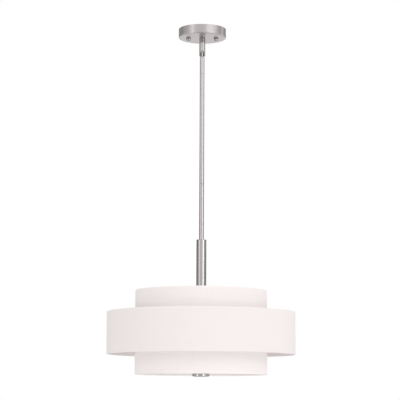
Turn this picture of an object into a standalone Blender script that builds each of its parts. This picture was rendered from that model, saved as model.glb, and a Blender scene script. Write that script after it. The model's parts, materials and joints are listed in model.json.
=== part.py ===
"""A ceiling pendant light with two fabric drums on one rod, a tall inner drum inside a wider, shorter one.

Every piece is its own object at its real size, in metres, with +Z up. The origin is on the lamp's
axis in the plane of the ceiling, so the whole lamp hangs below z = 0.
"""

import math

import bmesh
import bpy
from mathutils import Matrix, Vector

# Clearances and cuts
SEAT_GAP = 0.0003          # between two faces that rest on each other
THREAD_GAP = 0.0003        # around a threaded shank or a pin in its hole
BALL_GAP = 0.0004          # around the swivel ball in the collar
PANEL_GAP = 0.0006         # around the diffuser's edge
CUT_OVERRUN = 0.002        # how far a cutter runs past the faces it opens

# Crossbar at the ceiling
STRAP_WIDTH = 0.019
STRAP_THICKNESS = 0.002
STRAP_CORNER_RADIUS = 0.004
BOX_STRAP_LENGTH = 0.104
BOX_SLOT_END_WALL = 0.005   # from a slot for the ceiling box's screws to the strap's end
BOX_SLOT_LENGTH = 0.014
BOX_SLOT_WIDTH = 0.005
CANOPY_STRAP_LENGTH = 0.096
RIVET_RADIUS = 0.005
RIVET_HEAD_RADIUS = 0.0069
RIVET_HEAD_DEPTH = 0.0016
RIVET_FLANGE_THICKNESS = 0.0008
RIVET_BORE_RADIUS = 0.0035
GROUND_SCREW_PLACE = 0.021
GROUND_SCREW_RADIUS = 0.0018
GROUND_HEAD_RADIUS = 0.0042
GROUND_HEAD_THICKNESS = 0.0024
GROUND_SLOT_WIDTH = 0.0009
GROUND_SLOT_DEPTH = 0.0011

# Canopy and the two screws that hold it
CANOPY_RADIUS = 0.065
CANOPY_DEPTH = 0.025
CANOPY_WALL = 0.001
CANOPY_CORNER_RADIUS = 0.003
CANOPY_SCREW_SPACING = 0.0762
CANOPY_SCREW_RADIUS = 0.0021
CANOPY_SCREW_HEAD_RADIUS = 0.0039
CANOPY_SCREW_HEAD_THICKNESS = 0.0013
JAM_NUT_FLATS = 0.008
JAM_NUT_THICKNESS = 0.003
KNOB_RADIUS = 0.0065
KNOB_SIDE = 0.0035
KNOB_DOME = 0.0045
KNOB_HOLE_DEPTH = 0.0058
KNOB_CHAMFER = 0.0006

# Swivel collar below the canopy
COLLAR_RADIUS = 0.00825
COLLAR_LENGTH = 0.0501
COLLAR_CHAMFER = 0.0005
COLLAR_NIPPLE_RADIUS = 0.00485
COLLAR_NIPPLE_RISE = 0.0105
COLLAR_BORE_RADIUS = 0.003
COLLAR_NUT_FLATS = 0.0145
COLLAR_NUT_THICKNESS = 0.004
LOCK_WASHER_RADIUS = 0.0078
LOCK_WASHER_THICKNESS = 0.0012
LOCK_WASHER_SPLIT = 0.0011
PIVOT_RISE = 0.012         # from the collar's lower end up to the swivel's axis
SWIVEL_SLOT_WIDTH = 0.0096
SWIVEL_SLOT_RISE = 0.0134  # from the collar's lower end up to the slot's round top
SWIVEL_PIN_RADIUS = 0.0015
SWIVEL_PIN_INSET = 0.0002  # how far a pin's end lies inside the collar's skin

# Swivel stem, rods and the pipe that carries the shades
BALL_RADIUS = 0.006
STEM_NECK_RADIUS = 0.0041
STEM_NECK_DROP = 0.0144    # from the swivel's axis down to the start of the taper
STEM_TAPER_LENGTH = 0.0012
STEM_SHANK_LENGTH = 0.0466
STEM_BORE_RADIUS = 0.0024
ROD_RADIUS = 0.00635
ROD_WALL = 0.00115
UPPER_ROD_LENGTH = 0.3048
LOWER_ROD_LENGTH = 0.1524
PIPE_RADIUS = 0.00485
PIPE_BORE_RADIUS = 0.0034
THREAD_LENGTH = 0.012      # how far a threaded end goes into a rod

# Sleeve round the pipe
SLEEVE_RADIUS = 0.0133
SLEEVE_WALL = 0.001
SLEEVE_LENGTH = 0.1585
SLEEVE_CAP_LIP = 0.0015
SLEEVE_CAP_PLUG = 0.005

# Socket cluster inside the inner drum
CUP_RADIUS = 0.052
CUP_HEIGHT = 0.025
CUP_WALL = 0.0012
CUP_CORNER_RADIUS = 0.005
PLATE_RADIUS = 0.060
PLATE_THICKNESS = 0.002
SOCKET_COUNT = 3
SOCKET_CIRCLE_RADIUS = 0.042
SOCKET_RADIUS = 0.017
SOCKET_NECK_RADIUS = 0.0135
SOCKET_NECK_LENGTH = 0.006
SOCKET_SHOULDER = 0.0035
SOCKET_LENGTH = 0.046
SOCKET_WALL = 0.002
SOCKET_BASE_THICKNESS = 0.008
SCREW_SHELL_GAP = 0.0004
SCREW_SHELL_WALL = 0.0006
SCREW_SHELL_LENGTH = 0.031
SCREW_SHELL_RIB = 0.0008
SCREW_SHELL_RIBS = 2
SCREW_SHELL_SETBACK = 0.0045
CONTACT_RADIUS = 0.0052
CONTACT_THICKNESS = 0.001
CONTACT_BUTTON_RADIUS = 0.003
CONTACT_BUTTON_DROP = 0.0014
SOCKET_BOLT_RADIUS = 0.004
SOCKET_BOLT_BORE_RADIUS = 0.0026
SOCKET_BOLT_FLATS = 0.013
SOCKET_BOLT_HEAD = 0.003
SOCKET_BOLT_GRIP = 0.006

# Hub and arms that carry the outer drum
HUB_RADIUS = 0.013
HUB_HEIGHT = 0.024
HUB_CHAMFER = 0.001
HUB_PIPE_DEPTH = 0.0145
ARM_COUNT = 3
ARM_RADIUS = 0.0025
ARM_HOLE_END_RADIUS = 0.0062
ARM_BELOW_RING = 0.0065
ARM_NUT_FLATS = 0.009
ARM_NUT_THICKNESS = 0.003
LUG_LENGTH = 0.009
LUG_WIDTH = 0.010
LUG_BELOW_ARM = 0.005
ARM_TIP_SETBACK = 0.0012
EYELET_WALL = 0.0012
EYELET_FLANGE_REACH = 0.0022
EYELET_FLANGE_THICKNESS = 0.0008

# Drums
INNER_RADIUS = 0.1778
INNER_HEIGHT = 0.226
OUTER_RADIUS = 0.254
OUTER_HEIGHT = 0.1143
FABRIC_THICKNESS = 0.0006
LINER_THICKNESS = 0.001
RING_WIRE_RADIUS = 0.0016
RING_SETBACK = 0.0008      # from a drum's edge to its wire ring
SPIDER_WIRE_RADIUS = 0.0018
SPIDER_DROP = 0.0224       # from the inner drum's top ring down to its centre washer
SPIDER_WASHER_RADIUS = 0.024
SPIDER_WASHER_THICKNESS = 0.002
SPIDER_ARM_SETBACK = 0.0015
SPIDER_WELD_DEPTH = 0.0005
SPIDER_BEND_START = 0.062
SPIDER_BEND_END = 0.030

# Diffuser and finial
DIFFUSER_THICKNESS = 0.003
DIFFUSER_ROD_RADIUS = 0.003
FINIAL_RADIUS = 0.023
FINIAL_HEIGHT = 0.0095
FINIAL_TOP_RADIUS = 0.001
FINIAL_EDGE_RADIUS = 0.003
FINIAL_CROWN = 0.0008
FINIAL_FLOOR = 0.0028
FINIAL_TOP_POINTS = 3

# Facets and directions
DRUM_STEPS = 48
CANOPY_STEPS = 36
COLLAR_STEPS = 24
SLEEVE_STEPS = 24
FINIAL_STEPS = 28
ROUND_STEPS = 16
SMALL_STEPS = 12
WIRE_SIDES = 5
HEX_SIDES = 6
CORNER_POINTS = 3
BALL_POINTS = 7
BEND_POINTS = 5
FIRST_ARM_DEG = 90.0
FIRST_SOCKET_DEG = 30.0
SHARP_ANGLE = math.radians(35.0)
SCREW_MERGE = 0.00001

# Levels, from the ceiling down
canopy_floor = -CANOPY_DEPTH
collar_top = canopy_floor - SEAT_GAP
collar_bottom = collar_top - COLLAR_LENGTH
pivot_level = collar_bottom + PIVOT_RISE
stem_taper_top = pivot_level - STEM_NECK_DROP
stem_taper_bottom = stem_taper_top - STEM_TAPER_LENGTH
stem_bottom = stem_taper_bottom - STEM_SHANK_LENGTH
upper_rod_top = stem_bottom - SEAT_GAP
upper_rod_bottom = upper_rod_top - UPPER_ROD_LENGTH
lower_rod_top = upper_rod_bottom - SEAT_GAP
lower_rod_bottom = lower_rod_top - LOWER_ROD_LENGTH
sleeve_cap_top = lower_rod_bottom - SEAT_GAP
sleeve_top = sleeve_cap_top - SLEEVE_CAP_LIP - SEAT_GAP
sleeve_bottom = sleeve_top - SLEEVE_LENGTH
sleeve_base_bottom = sleeve_bottom - SEAT_GAP - SLEEVE_CAP_LIP
spider_washer_top = sleeve_base_bottom - SEAT_GAP
spider_washer_bottom = spider_washer_top - SPIDER_WASHER_THICKNESS
cup_top = spider_washer_bottom - SEAT_GAP
cup_bottom = cup_top - CUP_HEIGHT
plate_top = cup_bottom - SEAT_GAP
plate_bottom = plate_top - PLATE_THICKNESS
hub_top = plate_bottom - SEAT_GAP
hub_bottom = hub_top - HUB_HEIGHT
arm_level = (hub_top + hub_bottom) / 2
pipe_bottom = hub_top - HUB_PIPE_DEPTH + SEAT_GAP
rod_bore_radius = ROD_RADIUS - ROD_WALL

# Drum walls: the fabric lies round the liner, and the wire rings lie inside it near its edges
ring_inset = RING_SETBACK + RING_WIRE_RADIUS
inner_ring_level = spider_washer_top + SPIDER_DROP
inner_top = inner_ring_level + ring_inset
inner_bottom = inner_top - INNER_HEIGHT
outer_ring_level = arm_level + ARM_BELOW_RING
outer_top = outer_ring_level + ring_inset
outer_bottom = outer_top - OUTER_HEIGHT
wall_depth = FABRIC_THICKNESS + SEAT_GAP + LINER_THICKNESS
flat_share = math.cos(math.pi / DRUM_STEPS)  # a facet's middle is this share of its corner's radius
inner_wall_outside = INNER_RADIUS * flat_share
inner_wall_inside = (INNER_RADIUS - wall_depth) * flat_share
outer_wall_inside = (OUTER_RADIUS - wall_depth) * flat_share
inner_ring_radius = inner_wall_inside - SEAT_GAP - RING_WIRE_RADIUS
outer_ring_radius = outer_wall_inside - SEAT_GAP - RING_WIRE_RADIUS

# The diffuser rests on the inner drum's bottom ring, and the finial presses it there
diffuser_bottom = inner_bottom + ring_inset + RING_WIRE_RADIUS + SEAT_GAP
diffuser_top = diffuser_bottom + DIFFUSER_THICKNESS
finial_top = diffuser_bottom - SEAT_GAP
finial_bottom = finial_top - FINIAL_HEIGHT


def clear_scene():
    for obj in list(bpy.data.objects):
        bpy.data.objects.remove(obj, do_unlink=True)


def new_collection(name, hidden=False):
    collection = bpy.data.collections.new(name)
    collection.hide_render = hidden
    bpy.context.scene.collection.children.link(collection)
    return collection


clear_scene()
LAMP = new_collection("double_drum_pendant")
CUTTERS = new_collection("cutters", hidden=True)


def material(name, colour, metallic, roughness):
    made = bpy.data.materials.new(name)
    made.use_nodes = True
    shader = made.node_tree.nodes["Principled BSDF"]
    shader.inputs["Base Color"].default_value = (*colour, 1.0)
    shader.inputs["Metallic"].default_value = metallic
    shader.inputs["Roughness"].default_value = roughness
    return made


NICKEL = material("brushed_nickel", (0.63, 0.60, 0.58), 1.0, 0.28)
NICKEL_CANOPY = material("brushed_nickel_canopy", (0.60, 0.57, 0.56), 1.0, 0.24)
ZINC = material("zinc_plated_steel", (0.66, 0.67, 0.69), 1.0, 0.38)
GREEN = material("green_screw", (0.05, 0.32, 0.11), 0.4, 0.4)
FABRIC = material("shade_fabric", (0.86, 0.82, 0.80), 0.0, 0.85)
LINER = material("shade_liner", (0.90, 0.89, 0.87), 0.0, 0.5)
WIRE = material("white_painted_wire", (0.82, 0.81, 0.79), 0.0, 0.45)
ACRYLIC = material("white_acrylic", (0.90, 0.89, 0.88), 0.0, 0.3)
PHENOLIC = material("socket_phenolic", (0.80, 0.79, 0.76), 0.0, 0.4)
SHELL_METAL = material("screw_shell_aluminium", (0.80, 0.79, 0.76), 1.0, 0.3)
BRASS = material("contact_brass", (0.75, 0.60, 0.30), 1.0, 0.3)


def place(obj, made_of, parent=None):
    """Shows the object as one of the lamp's pieces, with its material and its parent empty."""
    for collection in list(obj.users_collection):
        collection.objects.unlink(obj)
    LAMP.objects.link(obj)
    obj.data.materials.clear()
    obj.data.materials.append(made_of)
    if parent is not None:
        obj.parent = parent
        obj.matrix_parent_inverse = parent.matrix_basis.inverted()
    return obj


def helper(obj):
    """Keeps the object out of the lamp: it only cuts another piece, or is joined into it."""
    for collection in list(obj.users_collection):
        collection.objects.unlink(obj)
    CUTTERS.objects.link(obj)
    obj.hide_render = True
    obj.display_type = "WIRE"
    return obj


def joint_empty(name, location, parent=None):
    empty = bpy.data.objects.new(name, None)
    empty.location = location
    empty.empty_display_size = COLLAR_RADIUS
    LAMP.objects.link(empty)
    if parent is not None:
        empty.parent = parent
        empty.matrix_parent_inverse = parent.matrix_basis.inverted()
    return empty


def smooth(obj):
    obj.data.shade_smooth()
    obj.data.set_sharp_from_angle(angle=SHARP_ANGLE)
    return obj


def mesh_object(name, work):
    mesh = bpy.data.meshes.new(name)
    work.to_mesh(mesh)
    work.free()
    obj = bpy.data.objects.new(name, mesh)
    bpy.context.scene.collection.objects.link(obj)
    return obj


def turned(name, profile, steps, closed=True, matrix=None):
    """A profile of (radius, height) points, turned about Z. It runs down its outer side."""
    work = bmesh.new()
    points = [work.verts.new((radius, 0, height)) for radius, height in profile]
    for first, second in zip(points, points[1:]):
        work.edges.new((first, second))
    if closed:
        work.edges.new((points[-1], points[0]))
    obj = mesh_object(name, work)
    screw = obj.modifiers.new("turn", "SCREW")
    screw.axis = "Z"
    screw.steps = steps
    screw.render_steps = steps
    screw.use_merge_vertices = True
    screw.merge_threshold = SCREW_MERGE
    screw.use_smooth_shade = True
    if matrix is not None:
        obj.matrix_world = matrix
    return obj


def ring_profile(inner, outer, low, high):
    return [(outer, high), (outer, low), (inner, low), (inner, high)]


def arc(centre_radius, centre_height, radius, start_deg, end_deg, points):
    """Points along an arc, with both ends."""
    made = []
    for index in range(points):
        angle = math.radians(start_deg + (end_deg - start_deg) * index / (points - 1))
        made.append((centre_radius + radius * math.cos(angle), centre_height + radius * math.sin(angle)))
    return made


def prism(name, sides, radius, low, high, centre=(0, 0), stretch=(0, 0), turn=0.0):
    """An upright prism. A stretch pulls its two halves apart, which makes a slot's round-ended form."""
    work = bmesh.new()
    bmesh.ops.create_cone(
        work, cap_ends=True, segments=sides, radius1=radius, radius2=radius, depth=high - low,
        matrix=Matrix.Rotation(turn, 4, "Z"),
    )
    for vertex in work.verts:
        vertex.co.x += math.copysign(stretch[0] / 2, vertex.co.x)
        vertex.co.y += math.copysign(stretch[1] / 2, vertex.co.y)
        vertex.co += Vector((*centre, (low + high) / 2))
    return smooth(mesh_object(name, work))


def block(name, size, centre):
    work = bmesh.new()
    bmesh.ops.create_cube(work, size=1.0, matrix=Matrix.Diagonal((*size, 1.0)))
    bmesh.ops.translate(work, verts=work.verts, vec=centre)
    return mesh_object(name, work)


def hexagon_radius(flats):
    return flats / 2 / math.cos(math.pi / HEX_SIDES)


def boolean(obj, other, operation):
    modifier = obj.modifiers.new(other.name, "BOOLEAN")
    modifier.operation = operation
    modifier.solver = "EXACT"
    modifier.object = helper(other)
    return obj


def cut(obj, cutter):
    return boolean(obj, cutter, "DIFFERENCE")


def join(obj, other):
    return boolean(obj, other, "UNION")


def around(azimuth_deg):
    return Matrix.Rotation(math.radians(azimuth_deg), 4, "Z")


def outward(azimuth_deg, height):
    """Turns local +Z to point away from the lamp's axis, at this height."""
    return around(azimuth_deg) @ Matrix.Translation((0, 0, height)) @ Matrix.Rotation(math.pi / 2, 4, "Y")


def wire_mesh(name, points, radius):
    """A round wire through the points, as a closed mesh."""
    curve = bpy.data.curves.new(name, "CURVE")
    curve.dimensions = "3D"
    curve.bevel_depth = radius
    curve.bevel_resolution = 1
    curve.use_fill_caps = True
    spline = curve.splines.new("POLY")
    spline.points.add(len(points) - 1)
    for knot, point in zip(spline.points, points):
        knot.co = (*point, 1.0)
    guide = bpy.data.objects.new(name, curve)
    bpy.context.scene.collection.objects.link(guide)
    graph = bpy.context.evaluated_depsgraph_get()
    mesh = bpy.data.meshes.new_from_object(guide.evaluated_get(graph))
    bpy.data.objects.remove(guide, do_unlink=True)
    work = bmesh.new()
    work.from_mesh(mesh)
    bpy.data.meshes.remove(mesh)
    bmesh.ops.remove_doubles(work, verts=work.verts, dist=SCREW_MERGE)
    bmesh.ops.recalc_face_normals(work, faces=work.faces)
    return mesh_object(name, work)


def strap(name, length_x, length_y, top):
    """A flat steel bar with rounded corners, its long side along X or Y."""
    obj = block(name, (length_x, length_y, STRAP_THICKNESS), (0, 0, top - STRAP_THICKNESS / 2))
    work = bmesh.new()
    work.from_mesh(obj.data)
    upright = [edge for edge in work.edges if edge.verts[0].co.xy == edge.verts[1].co.xy]
    bmesh.ops.bevel(
        work, geom=upright, offset=STRAP_CORNER_RADIUS, segments=CORNER_POINTS, profile=0.5, affect="EDGES",
    )
    work.to_mesh(obj.data)
    work.free()
    return smooth(obj)


# Joint axes
swivel_axis = joint_empty("swivel_axis", (0, 0, canopy_floor))
tilt_axis = joint_empty("tilt_axis", (0, 0, pivot_level), swivel_axis)
finial_axis = joint_empty("finial_axis", (0, 0, finial_top), tilt_axis)


def build_crossbar():
    """Two straps riveted in a cross: one goes to the ceiling box, the other carries the canopy."""
    low_strap_top = -STRAP_THICKNESS - SEAT_GAP
    low_strap_bottom = low_strap_top - STRAP_THICKNESS
    hole_radius = RIVET_RADIUS + THREAD_GAP

    box_strap = place(strap("box_strap", STRAP_WIDTH, BOX_STRAP_LENGTH, 0), ZINC)
    seat = [
        (0, CUT_OVERRUN), (RIVET_HEAD_RADIUS + THREAD_GAP, CUT_OVERRUN),
        (RIVET_HEAD_RADIUS + THREAD_GAP, -SEAT_GAP), (hole_radius, -RIVET_HEAD_DEPTH),
        (hole_radius, -STRAP_THICKNESS - CUT_OVERRUN), (0, -STRAP_THICKNESS - CUT_OVERRUN),
    ]
    cut(box_strap, turned("rivet_seat_cut", seat, ROUND_STEPS, closed=False))
    slot_place = BOX_STRAP_LENGTH / 2 - BOX_SLOT_END_WALL - BOX_SLOT_LENGTH / 2
    for side, word in ((-1, "front"), (1, "back")):
        cut(box_strap, prism(
            f"box_slot_cut_{word}", SMALL_STEPS, BOX_SLOT_WIDTH / 2,
            -STRAP_THICKNESS - CUT_OVERRUN, CUT_OVERRUN,
            centre=(0, side * slot_place), stretch=(0, BOX_SLOT_LENGTH - BOX_SLOT_WIDTH),
            turn=math.pi / SMALL_STEPS,
        ))

    canopy_strap = place(strap("canopy_strap", CANOPY_STRAP_LENGTH, STRAP_WIDTH, low_strap_top), ZINC)
    for word, radius, x in (
        ("rivet", hole_radius, 0),
        ("left_screw", CANOPY_SCREW_RADIUS + THREAD_GAP, -CANOPY_SCREW_SPACING / 2),
        ("right_screw", CANOPY_SCREW_RADIUS + THREAD_GAP, CANOPY_SCREW_SPACING / 2),
        ("ground", GROUND_SCREW_RADIUS + THREAD_GAP, GROUND_SCREW_PLACE),
    ):
        cut(canopy_strap, prism(
            f"{word}_hole_cut", SMALL_STEPS, radius, low_strap_bottom - CUT_OVERRUN,
            low_strap_top + CUT_OVERRUN, centre=(x, 0),
        ))

    flange_top = low_strap_bottom - SEAT_GAP
    flange_bottom = flange_top - RIVET_FLANGE_THICKNESS
    rivet = [
        (RIVET_HEAD_RADIUS, -SEAT_GAP), (RIVET_RADIUS, -RIVET_HEAD_DEPTH),
        (RIVET_RADIUS, flange_top), (RIVET_HEAD_RADIUS, flange_top),
        (RIVET_HEAD_RADIUS, flange_bottom), (RIVET_BORE_RADIUS, flange_bottom),
        (RIVET_BORE_RADIUS, -SEAT_GAP),
    ]
    place(turned("strap_rivet", rivet, ROUND_STEPS), ZINC)

    head_top = low_strap_bottom - SEAT_GAP
    head_bottom = head_top - GROUND_HEAD_THICKNESS
    ground_screw = turned("ground_screw", [
        (0, low_strap_top), (GROUND_SCREW_RADIUS, low_strap_top), (GROUND_SCREW_RADIUS, head_top),
        (GROUND_HEAD_RADIUS, head_top), (GROUND_HEAD_RADIUS, head_bottom), (0, head_bottom),
    ], SMALL_STEPS, closed=False, matrix=Matrix.Translation((GROUND_SCREW_PLACE, 0, 0)))
    cut(ground_screw, block(
        "ground_slot_cut", (GROUND_HEAD_RADIUS * 2 + CUT_OVERRUN, GROUND_SLOT_WIDTH, GROUND_SLOT_DEPTH * 2),
        (GROUND_SCREW_PLACE, 0, head_bottom),
    ))
    place(ground_screw, GREEN)
    return low_strap_top, low_strap_bottom


def build_canopy(low_strap_top, low_strap_bottom):
    """The spun cover at the ceiling, with the two screws, jam nuts and domed knobs that hold it."""
    inside_corner = CANOPY_CORNER_RADIUS - CANOPY_WALL
    corner_radius_place = CANOPY_RADIUS - CANOPY_CORNER_RADIUS
    corner_height = canopy_floor + CANOPY_CORNER_RADIUS
    centre_hole = COLLAR_NIPPLE_RADIUS + THREAD_GAP
    profile = [(CANOPY_RADIUS, 0)]
    profile += arc(corner_radius_place, corner_height, CANOPY_CORNER_RADIUS, 0, -90, CORNER_POINTS + 1)
    profile += [(centre_hole, canopy_floor), (centre_hole, canopy_floor + CANOPY_WALL)]
    profile += arc(corner_radius_place, corner_height, inside_corner, -90, 0, CORNER_POINTS + 1)
    profile += [(CANOPY_RADIUS - CANOPY_WALL, 0)]
    canopy = place(turned("canopy", profile, CANOPY_STEPS), NICKEL_CANOPY)

    head_bottom = low_strap_top + SEAT_GAP
    knob_top = canopy_floor - SEAT_GAP
    knob_hole_bottom = knob_top - KNOB_HOLE_DEPTH
    dome_start = knob_top - KNOB_SIDE
    shank_hole = CANOPY_SCREW_RADIUS + THREAD_GAP
    nut_top = low_strap_bottom - SEAT_GAP
    for side, word in ((-1, "left"), (1, "right")):
        x = side * CANOPY_SCREW_SPACING / 2
        stand = Matrix.Translation((x, 0, 0))
        cut(canopy, prism(
            f"knob_hole_cut_{word}", SMALL_STEPS, shank_hole, canopy_floor - CUT_OVERRUN,
            canopy_floor + CANOPY_WALL + CUT_OVERRUN, centre=(x, 0),
        ))
        tip = knob_hole_bottom + SEAT_GAP
        place(turned(f"canopy_screw_{word}", [
            (0, head_bottom + CANOPY_SCREW_HEAD_THICKNESS),
            (CANOPY_SCREW_HEAD_RADIUS, head_bottom + CANOPY_SCREW_HEAD_THICKNESS),
            (CANOPY_SCREW_HEAD_RADIUS, head_bottom), (CANOPY_SCREW_RADIUS, head_bottom),
            (CANOPY_SCREW_RADIUS, tip), (0, tip),
        ], SMALL_STEPS, closed=False, matrix=stand), ZINC)
        nut = prism(
            f"jam_nut_{word}", HEX_SIDES, hexagon_radius(JAM_NUT_FLATS), nut_top - JAM_NUT_THICKNESS,
            nut_top, centre=(x, 0),
        )
        cut(nut, prism(
            f"jam_nut_bore_{word}", SMALL_STEPS, shank_hole, nut_top - JAM_NUT_THICKNESS - CUT_OVERRUN,
            nut_top + CUT_OVERRUN, centre=(x, 0),
        ))
        place(nut, ZINC)

        dome = []
        for height_share, radius_share in knob_dome_shares():
            dome.append((KNOB_RADIUS * radius_share, dome_start - KNOB_DOME * height_share))
        knob_profile = [
            (0, knob_hole_bottom), (shank_hole, knob_hole_bottom), (shank_hole, knob_top),
            (KNOB_RADIUS - KNOB_CHAMFER, knob_top), (KNOB_RADIUS, knob_top - KNOB_CHAMFER), *dome,
        ]
        axis = joint_empty(f"knob_axis_{word}", (x, 0, knob_top))
        knob = turned(f"canopy_knob_{word}", knob_profile, ROUND_STEPS, closed=False, matrix=stand)
        place(knob, NICKEL, axis)


def knob_dome_shares():
    """A quarter of an ellipse, from the knob's side to its tip, as shares of its height and radius."""
    points = CORNER_POINTS + 2
    shares = []
    for index in range(points):
        angle = math.pi / 2 * index / (points - 1)
        shares.append((math.sin(angle), math.cos(angle) if index < points - 1 else 0))
    return shares


def build_swivel_collar():
    """The collar turns in the canopy. Its slot lets the stem swing out to one side, for a sloping ceiling."""
    nipple_top = collar_top + COLLAR_NIPPLE_RISE
    cavity_radius = BALL_RADIUS + BALL_GAP
    cavity_top = pivot_level + cavity_radius
    collar = turned("swivel_collar", [
        (COLLAR_NIPPLE_RADIUS, nipple_top), (COLLAR_NIPPLE_RADIUS, collar_top),
        (COLLAR_RADIUS - COLLAR_CHAMFER, collar_top), (COLLAR_RADIUS, collar_top - COLLAR_CHAMFER),
        (COLLAR_RADIUS, collar_bottom + COLLAR_CHAMFER), (COLLAR_RADIUS - COLLAR_CHAMFER, collar_bottom),
        (cavity_radius, collar_bottom), (cavity_radius, cavity_top), (COLLAR_BORE_RADIUS, cavity_top),
        (COLLAR_BORE_RADIUS, nipple_top),
    ], COLLAR_STEPS)
    slot_below = SWIVEL_SLOT_WIDTH / 2 + CUT_OVERRUN
    slot_length = SWIVEL_SLOT_RISE + slot_below
    slot = prism(
        "swivel_slot_cut", SMALL_STEPS, SWIVEL_SLOT_WIDTH / 2, 0, COLLAR_RADIUS + CUT_OVERRUN,
        stretch=(0, slot_length - SWIVEL_SLOT_WIDTH), turn=math.pi / SMALL_STEPS,
    )
    slot_middle = collar_bottom - slot_below + slot_length / 2
    slot.matrix_world = Matrix.Translation((0, 0, slot_middle)) @ Matrix.Rotation(math.pi / 2, 4, "X")
    cut(collar, slot)
    pin_hole = prism(
        "swivel_pin_cut", SMALL_STEPS, SWIVEL_PIN_RADIUS + THREAD_GAP,
        -COLLAR_RADIUS - CUT_OVERRUN, COLLAR_RADIUS + CUT_OVERRUN,
    )
    pin_hole.matrix_world = Matrix.Translation((0, 0, pivot_level)) @ Matrix.Rotation(math.pi / 2, 4, "Y")
    cut(collar, pin_hole)
    place(collar, NICKEL, swivel_axis)

    washer_bottom = canopy_floor + CANOPY_WALL + SEAT_GAP
    washer_top = washer_bottom + LOCK_WASHER_THICKNESS
    clear_radius = COLLAR_NIPPLE_RADIUS + THREAD_GAP
    washer = turned(
        "lock_washer", ring_profile(clear_radius, LOCK_WASHER_RADIUS, washer_bottom, washer_top), ROUND_STEPS
    )
    cut(washer, block(
        "washer_split_cut", (LOCK_WASHER_RADIUS + CUT_OVERRUN, LOCK_WASHER_SPLIT, LOCK_WASHER_THICKNESS * 2),
        ((LOCK_WASHER_RADIUS + CUT_OVERRUN) / 2, 0, washer_bottom + LOCK_WASHER_THICKNESS / 2),
    ))
    place(washer, ZINC, swivel_axis)
    nut_bottom = washer_top + SEAT_GAP
    nut_top = nut_bottom + COLLAR_NUT_THICKNESS
    nut = prism("collar_nut", HEX_SIDES, hexagon_radius(COLLAR_NUT_FLATS), nut_bottom, nut_top)
    cut(nut, prism(
        "collar_nut_bore", ROUND_STEPS, clear_radius, nut_bottom - CUT_OVERRUN, nut_top + CUT_OVERRUN,
    ))
    place(nut, ZINC, swivel_axis)

    pin_inner_end = STEM_BORE_RADIUS + THREAD_GAP
    pin_outer_end = COLLAR_RADIUS - SWIVEL_PIN_INSET
    for side, word in ((-1, "left"), (1, "right")):
        pin = prism(f"swivel_pin_{word}", SMALL_STEPS, SWIVEL_PIN_RADIUS, pin_inner_end, pin_outer_end)
        sideways = Matrix.Rotation(side * math.pi / 2, 4, "Y")
        pin.matrix_world = Matrix.Translation((0, 0, pivot_level)) @ sideways
        place(pin, NICKEL, swivel_axis)


def build_stem_and_rods():
    """A hollow ball-ended stem hangs on the two swivel pins and carries the rods, all bored for the wires."""
    ball_top = math.degrees(math.acos(STEM_BORE_RADIUS / BALL_RADIUS))
    ball_bottom = -math.degrees(math.acos(STEM_NECK_RADIUS / BALL_RADIUS))
    profile = arc(0, pivot_level, BALL_RADIUS, ball_top, ball_bottom, BALL_POINTS)
    profile += [
        (STEM_NECK_RADIUS, stem_taper_top), (ROD_RADIUS, stem_taper_bottom), (ROD_RADIUS, stem_bottom),
        (PIPE_RADIUS, stem_bottom), (PIPE_RADIUS, stem_bottom - THREAD_LENGTH),
        (STEM_BORE_RADIUS, stem_bottom - THREAD_LENGTH),
    ]
    stem = turned("swivel_stem", profile, ROUND_STEPS)
    trunnion = prism(
        "trunnion_cut", SMALL_STEPS, SWIVEL_PIN_RADIUS + THREAD_GAP, -BALL_RADIUS - CUT_OVERRUN,
        BALL_RADIUS + CUT_OVERRUN,
    )
    trunnion.matrix_world = Matrix.Translation((0, 0, pivot_level)) @ Matrix.Rotation(math.pi / 2, 4, "Y")
    cut(stem, trunnion)
    place(stem, NICKEL, tilt_axis)

    for name, top, bottom, inner, outer in (
        ("upper_rod", upper_rod_top, upper_rod_bottom, rod_bore_radius, ROD_RADIUS),
        ("rod_coupling", upper_rod_bottom + THREAD_LENGTH, lower_rod_top - THREAD_LENGTH,
         PIPE_BORE_RADIUS, PIPE_RADIUS),
        ("lower_rod", lower_rod_top, lower_rod_bottom, rod_bore_radius, ROD_RADIUS),
        ("centre_pipe", lower_rod_bottom + THREAD_LENGTH, pipe_bottom, PIPE_BORE_RADIUS, PIPE_RADIUS),
    ):
        place(turned(name, ring_profile(inner, outer, bottom, top), ROUND_STEPS), NICKEL, tilt_axis)


def build_sleeve():
    """A wide tube that covers the pipe above the shades, with a turned cap in each end."""
    hole = PIPE_RADIUS + THREAD_GAP
    plug_radius = SLEEVE_RADIUS - SLEEVE_WALL - SEAT_GAP
    sleeve = turned(
        "column_sleeve", ring_profile(SLEEVE_RADIUS - SLEEVE_WALL, SLEEVE_RADIUS, sleeve_bottom, sleeve_top),
        SLEEVE_STEPS,
    )
    place(sleeve, NICKEL, tilt_axis)
    lip_bottom = sleeve_cap_top - SLEEVE_CAP_LIP
    place(turned("sleeve_top_cap", [
        (SLEEVE_RADIUS, sleeve_cap_top), (SLEEVE_RADIUS, lip_bottom), (plug_radius, lip_bottom),
        (plug_radius, lip_bottom - SLEEVE_CAP_PLUG), (hole, lip_bottom - SLEEVE_CAP_PLUG),
        (hole, sleeve_cap_top),
    ], SLEEVE_STEPS), NICKEL, tilt_axis)
    lip_top = sleeve_base_bottom + SLEEVE_CAP_LIP
    place(turned("sleeve_bottom_cap", [
        (plug_radius, lip_top + SLEEVE_CAP_PLUG), (plug_radius, lip_top), (SLEEVE_RADIUS, lip_top),
        (SLEEVE_RADIUS, sleeve_base_bottom), (hole, sleeve_base_bottom), (hole, lip_top + SLEEVE_CAP_PLUG),
    ], SLEEVE_STEPS), NICKEL, tilt_axis)


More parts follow.
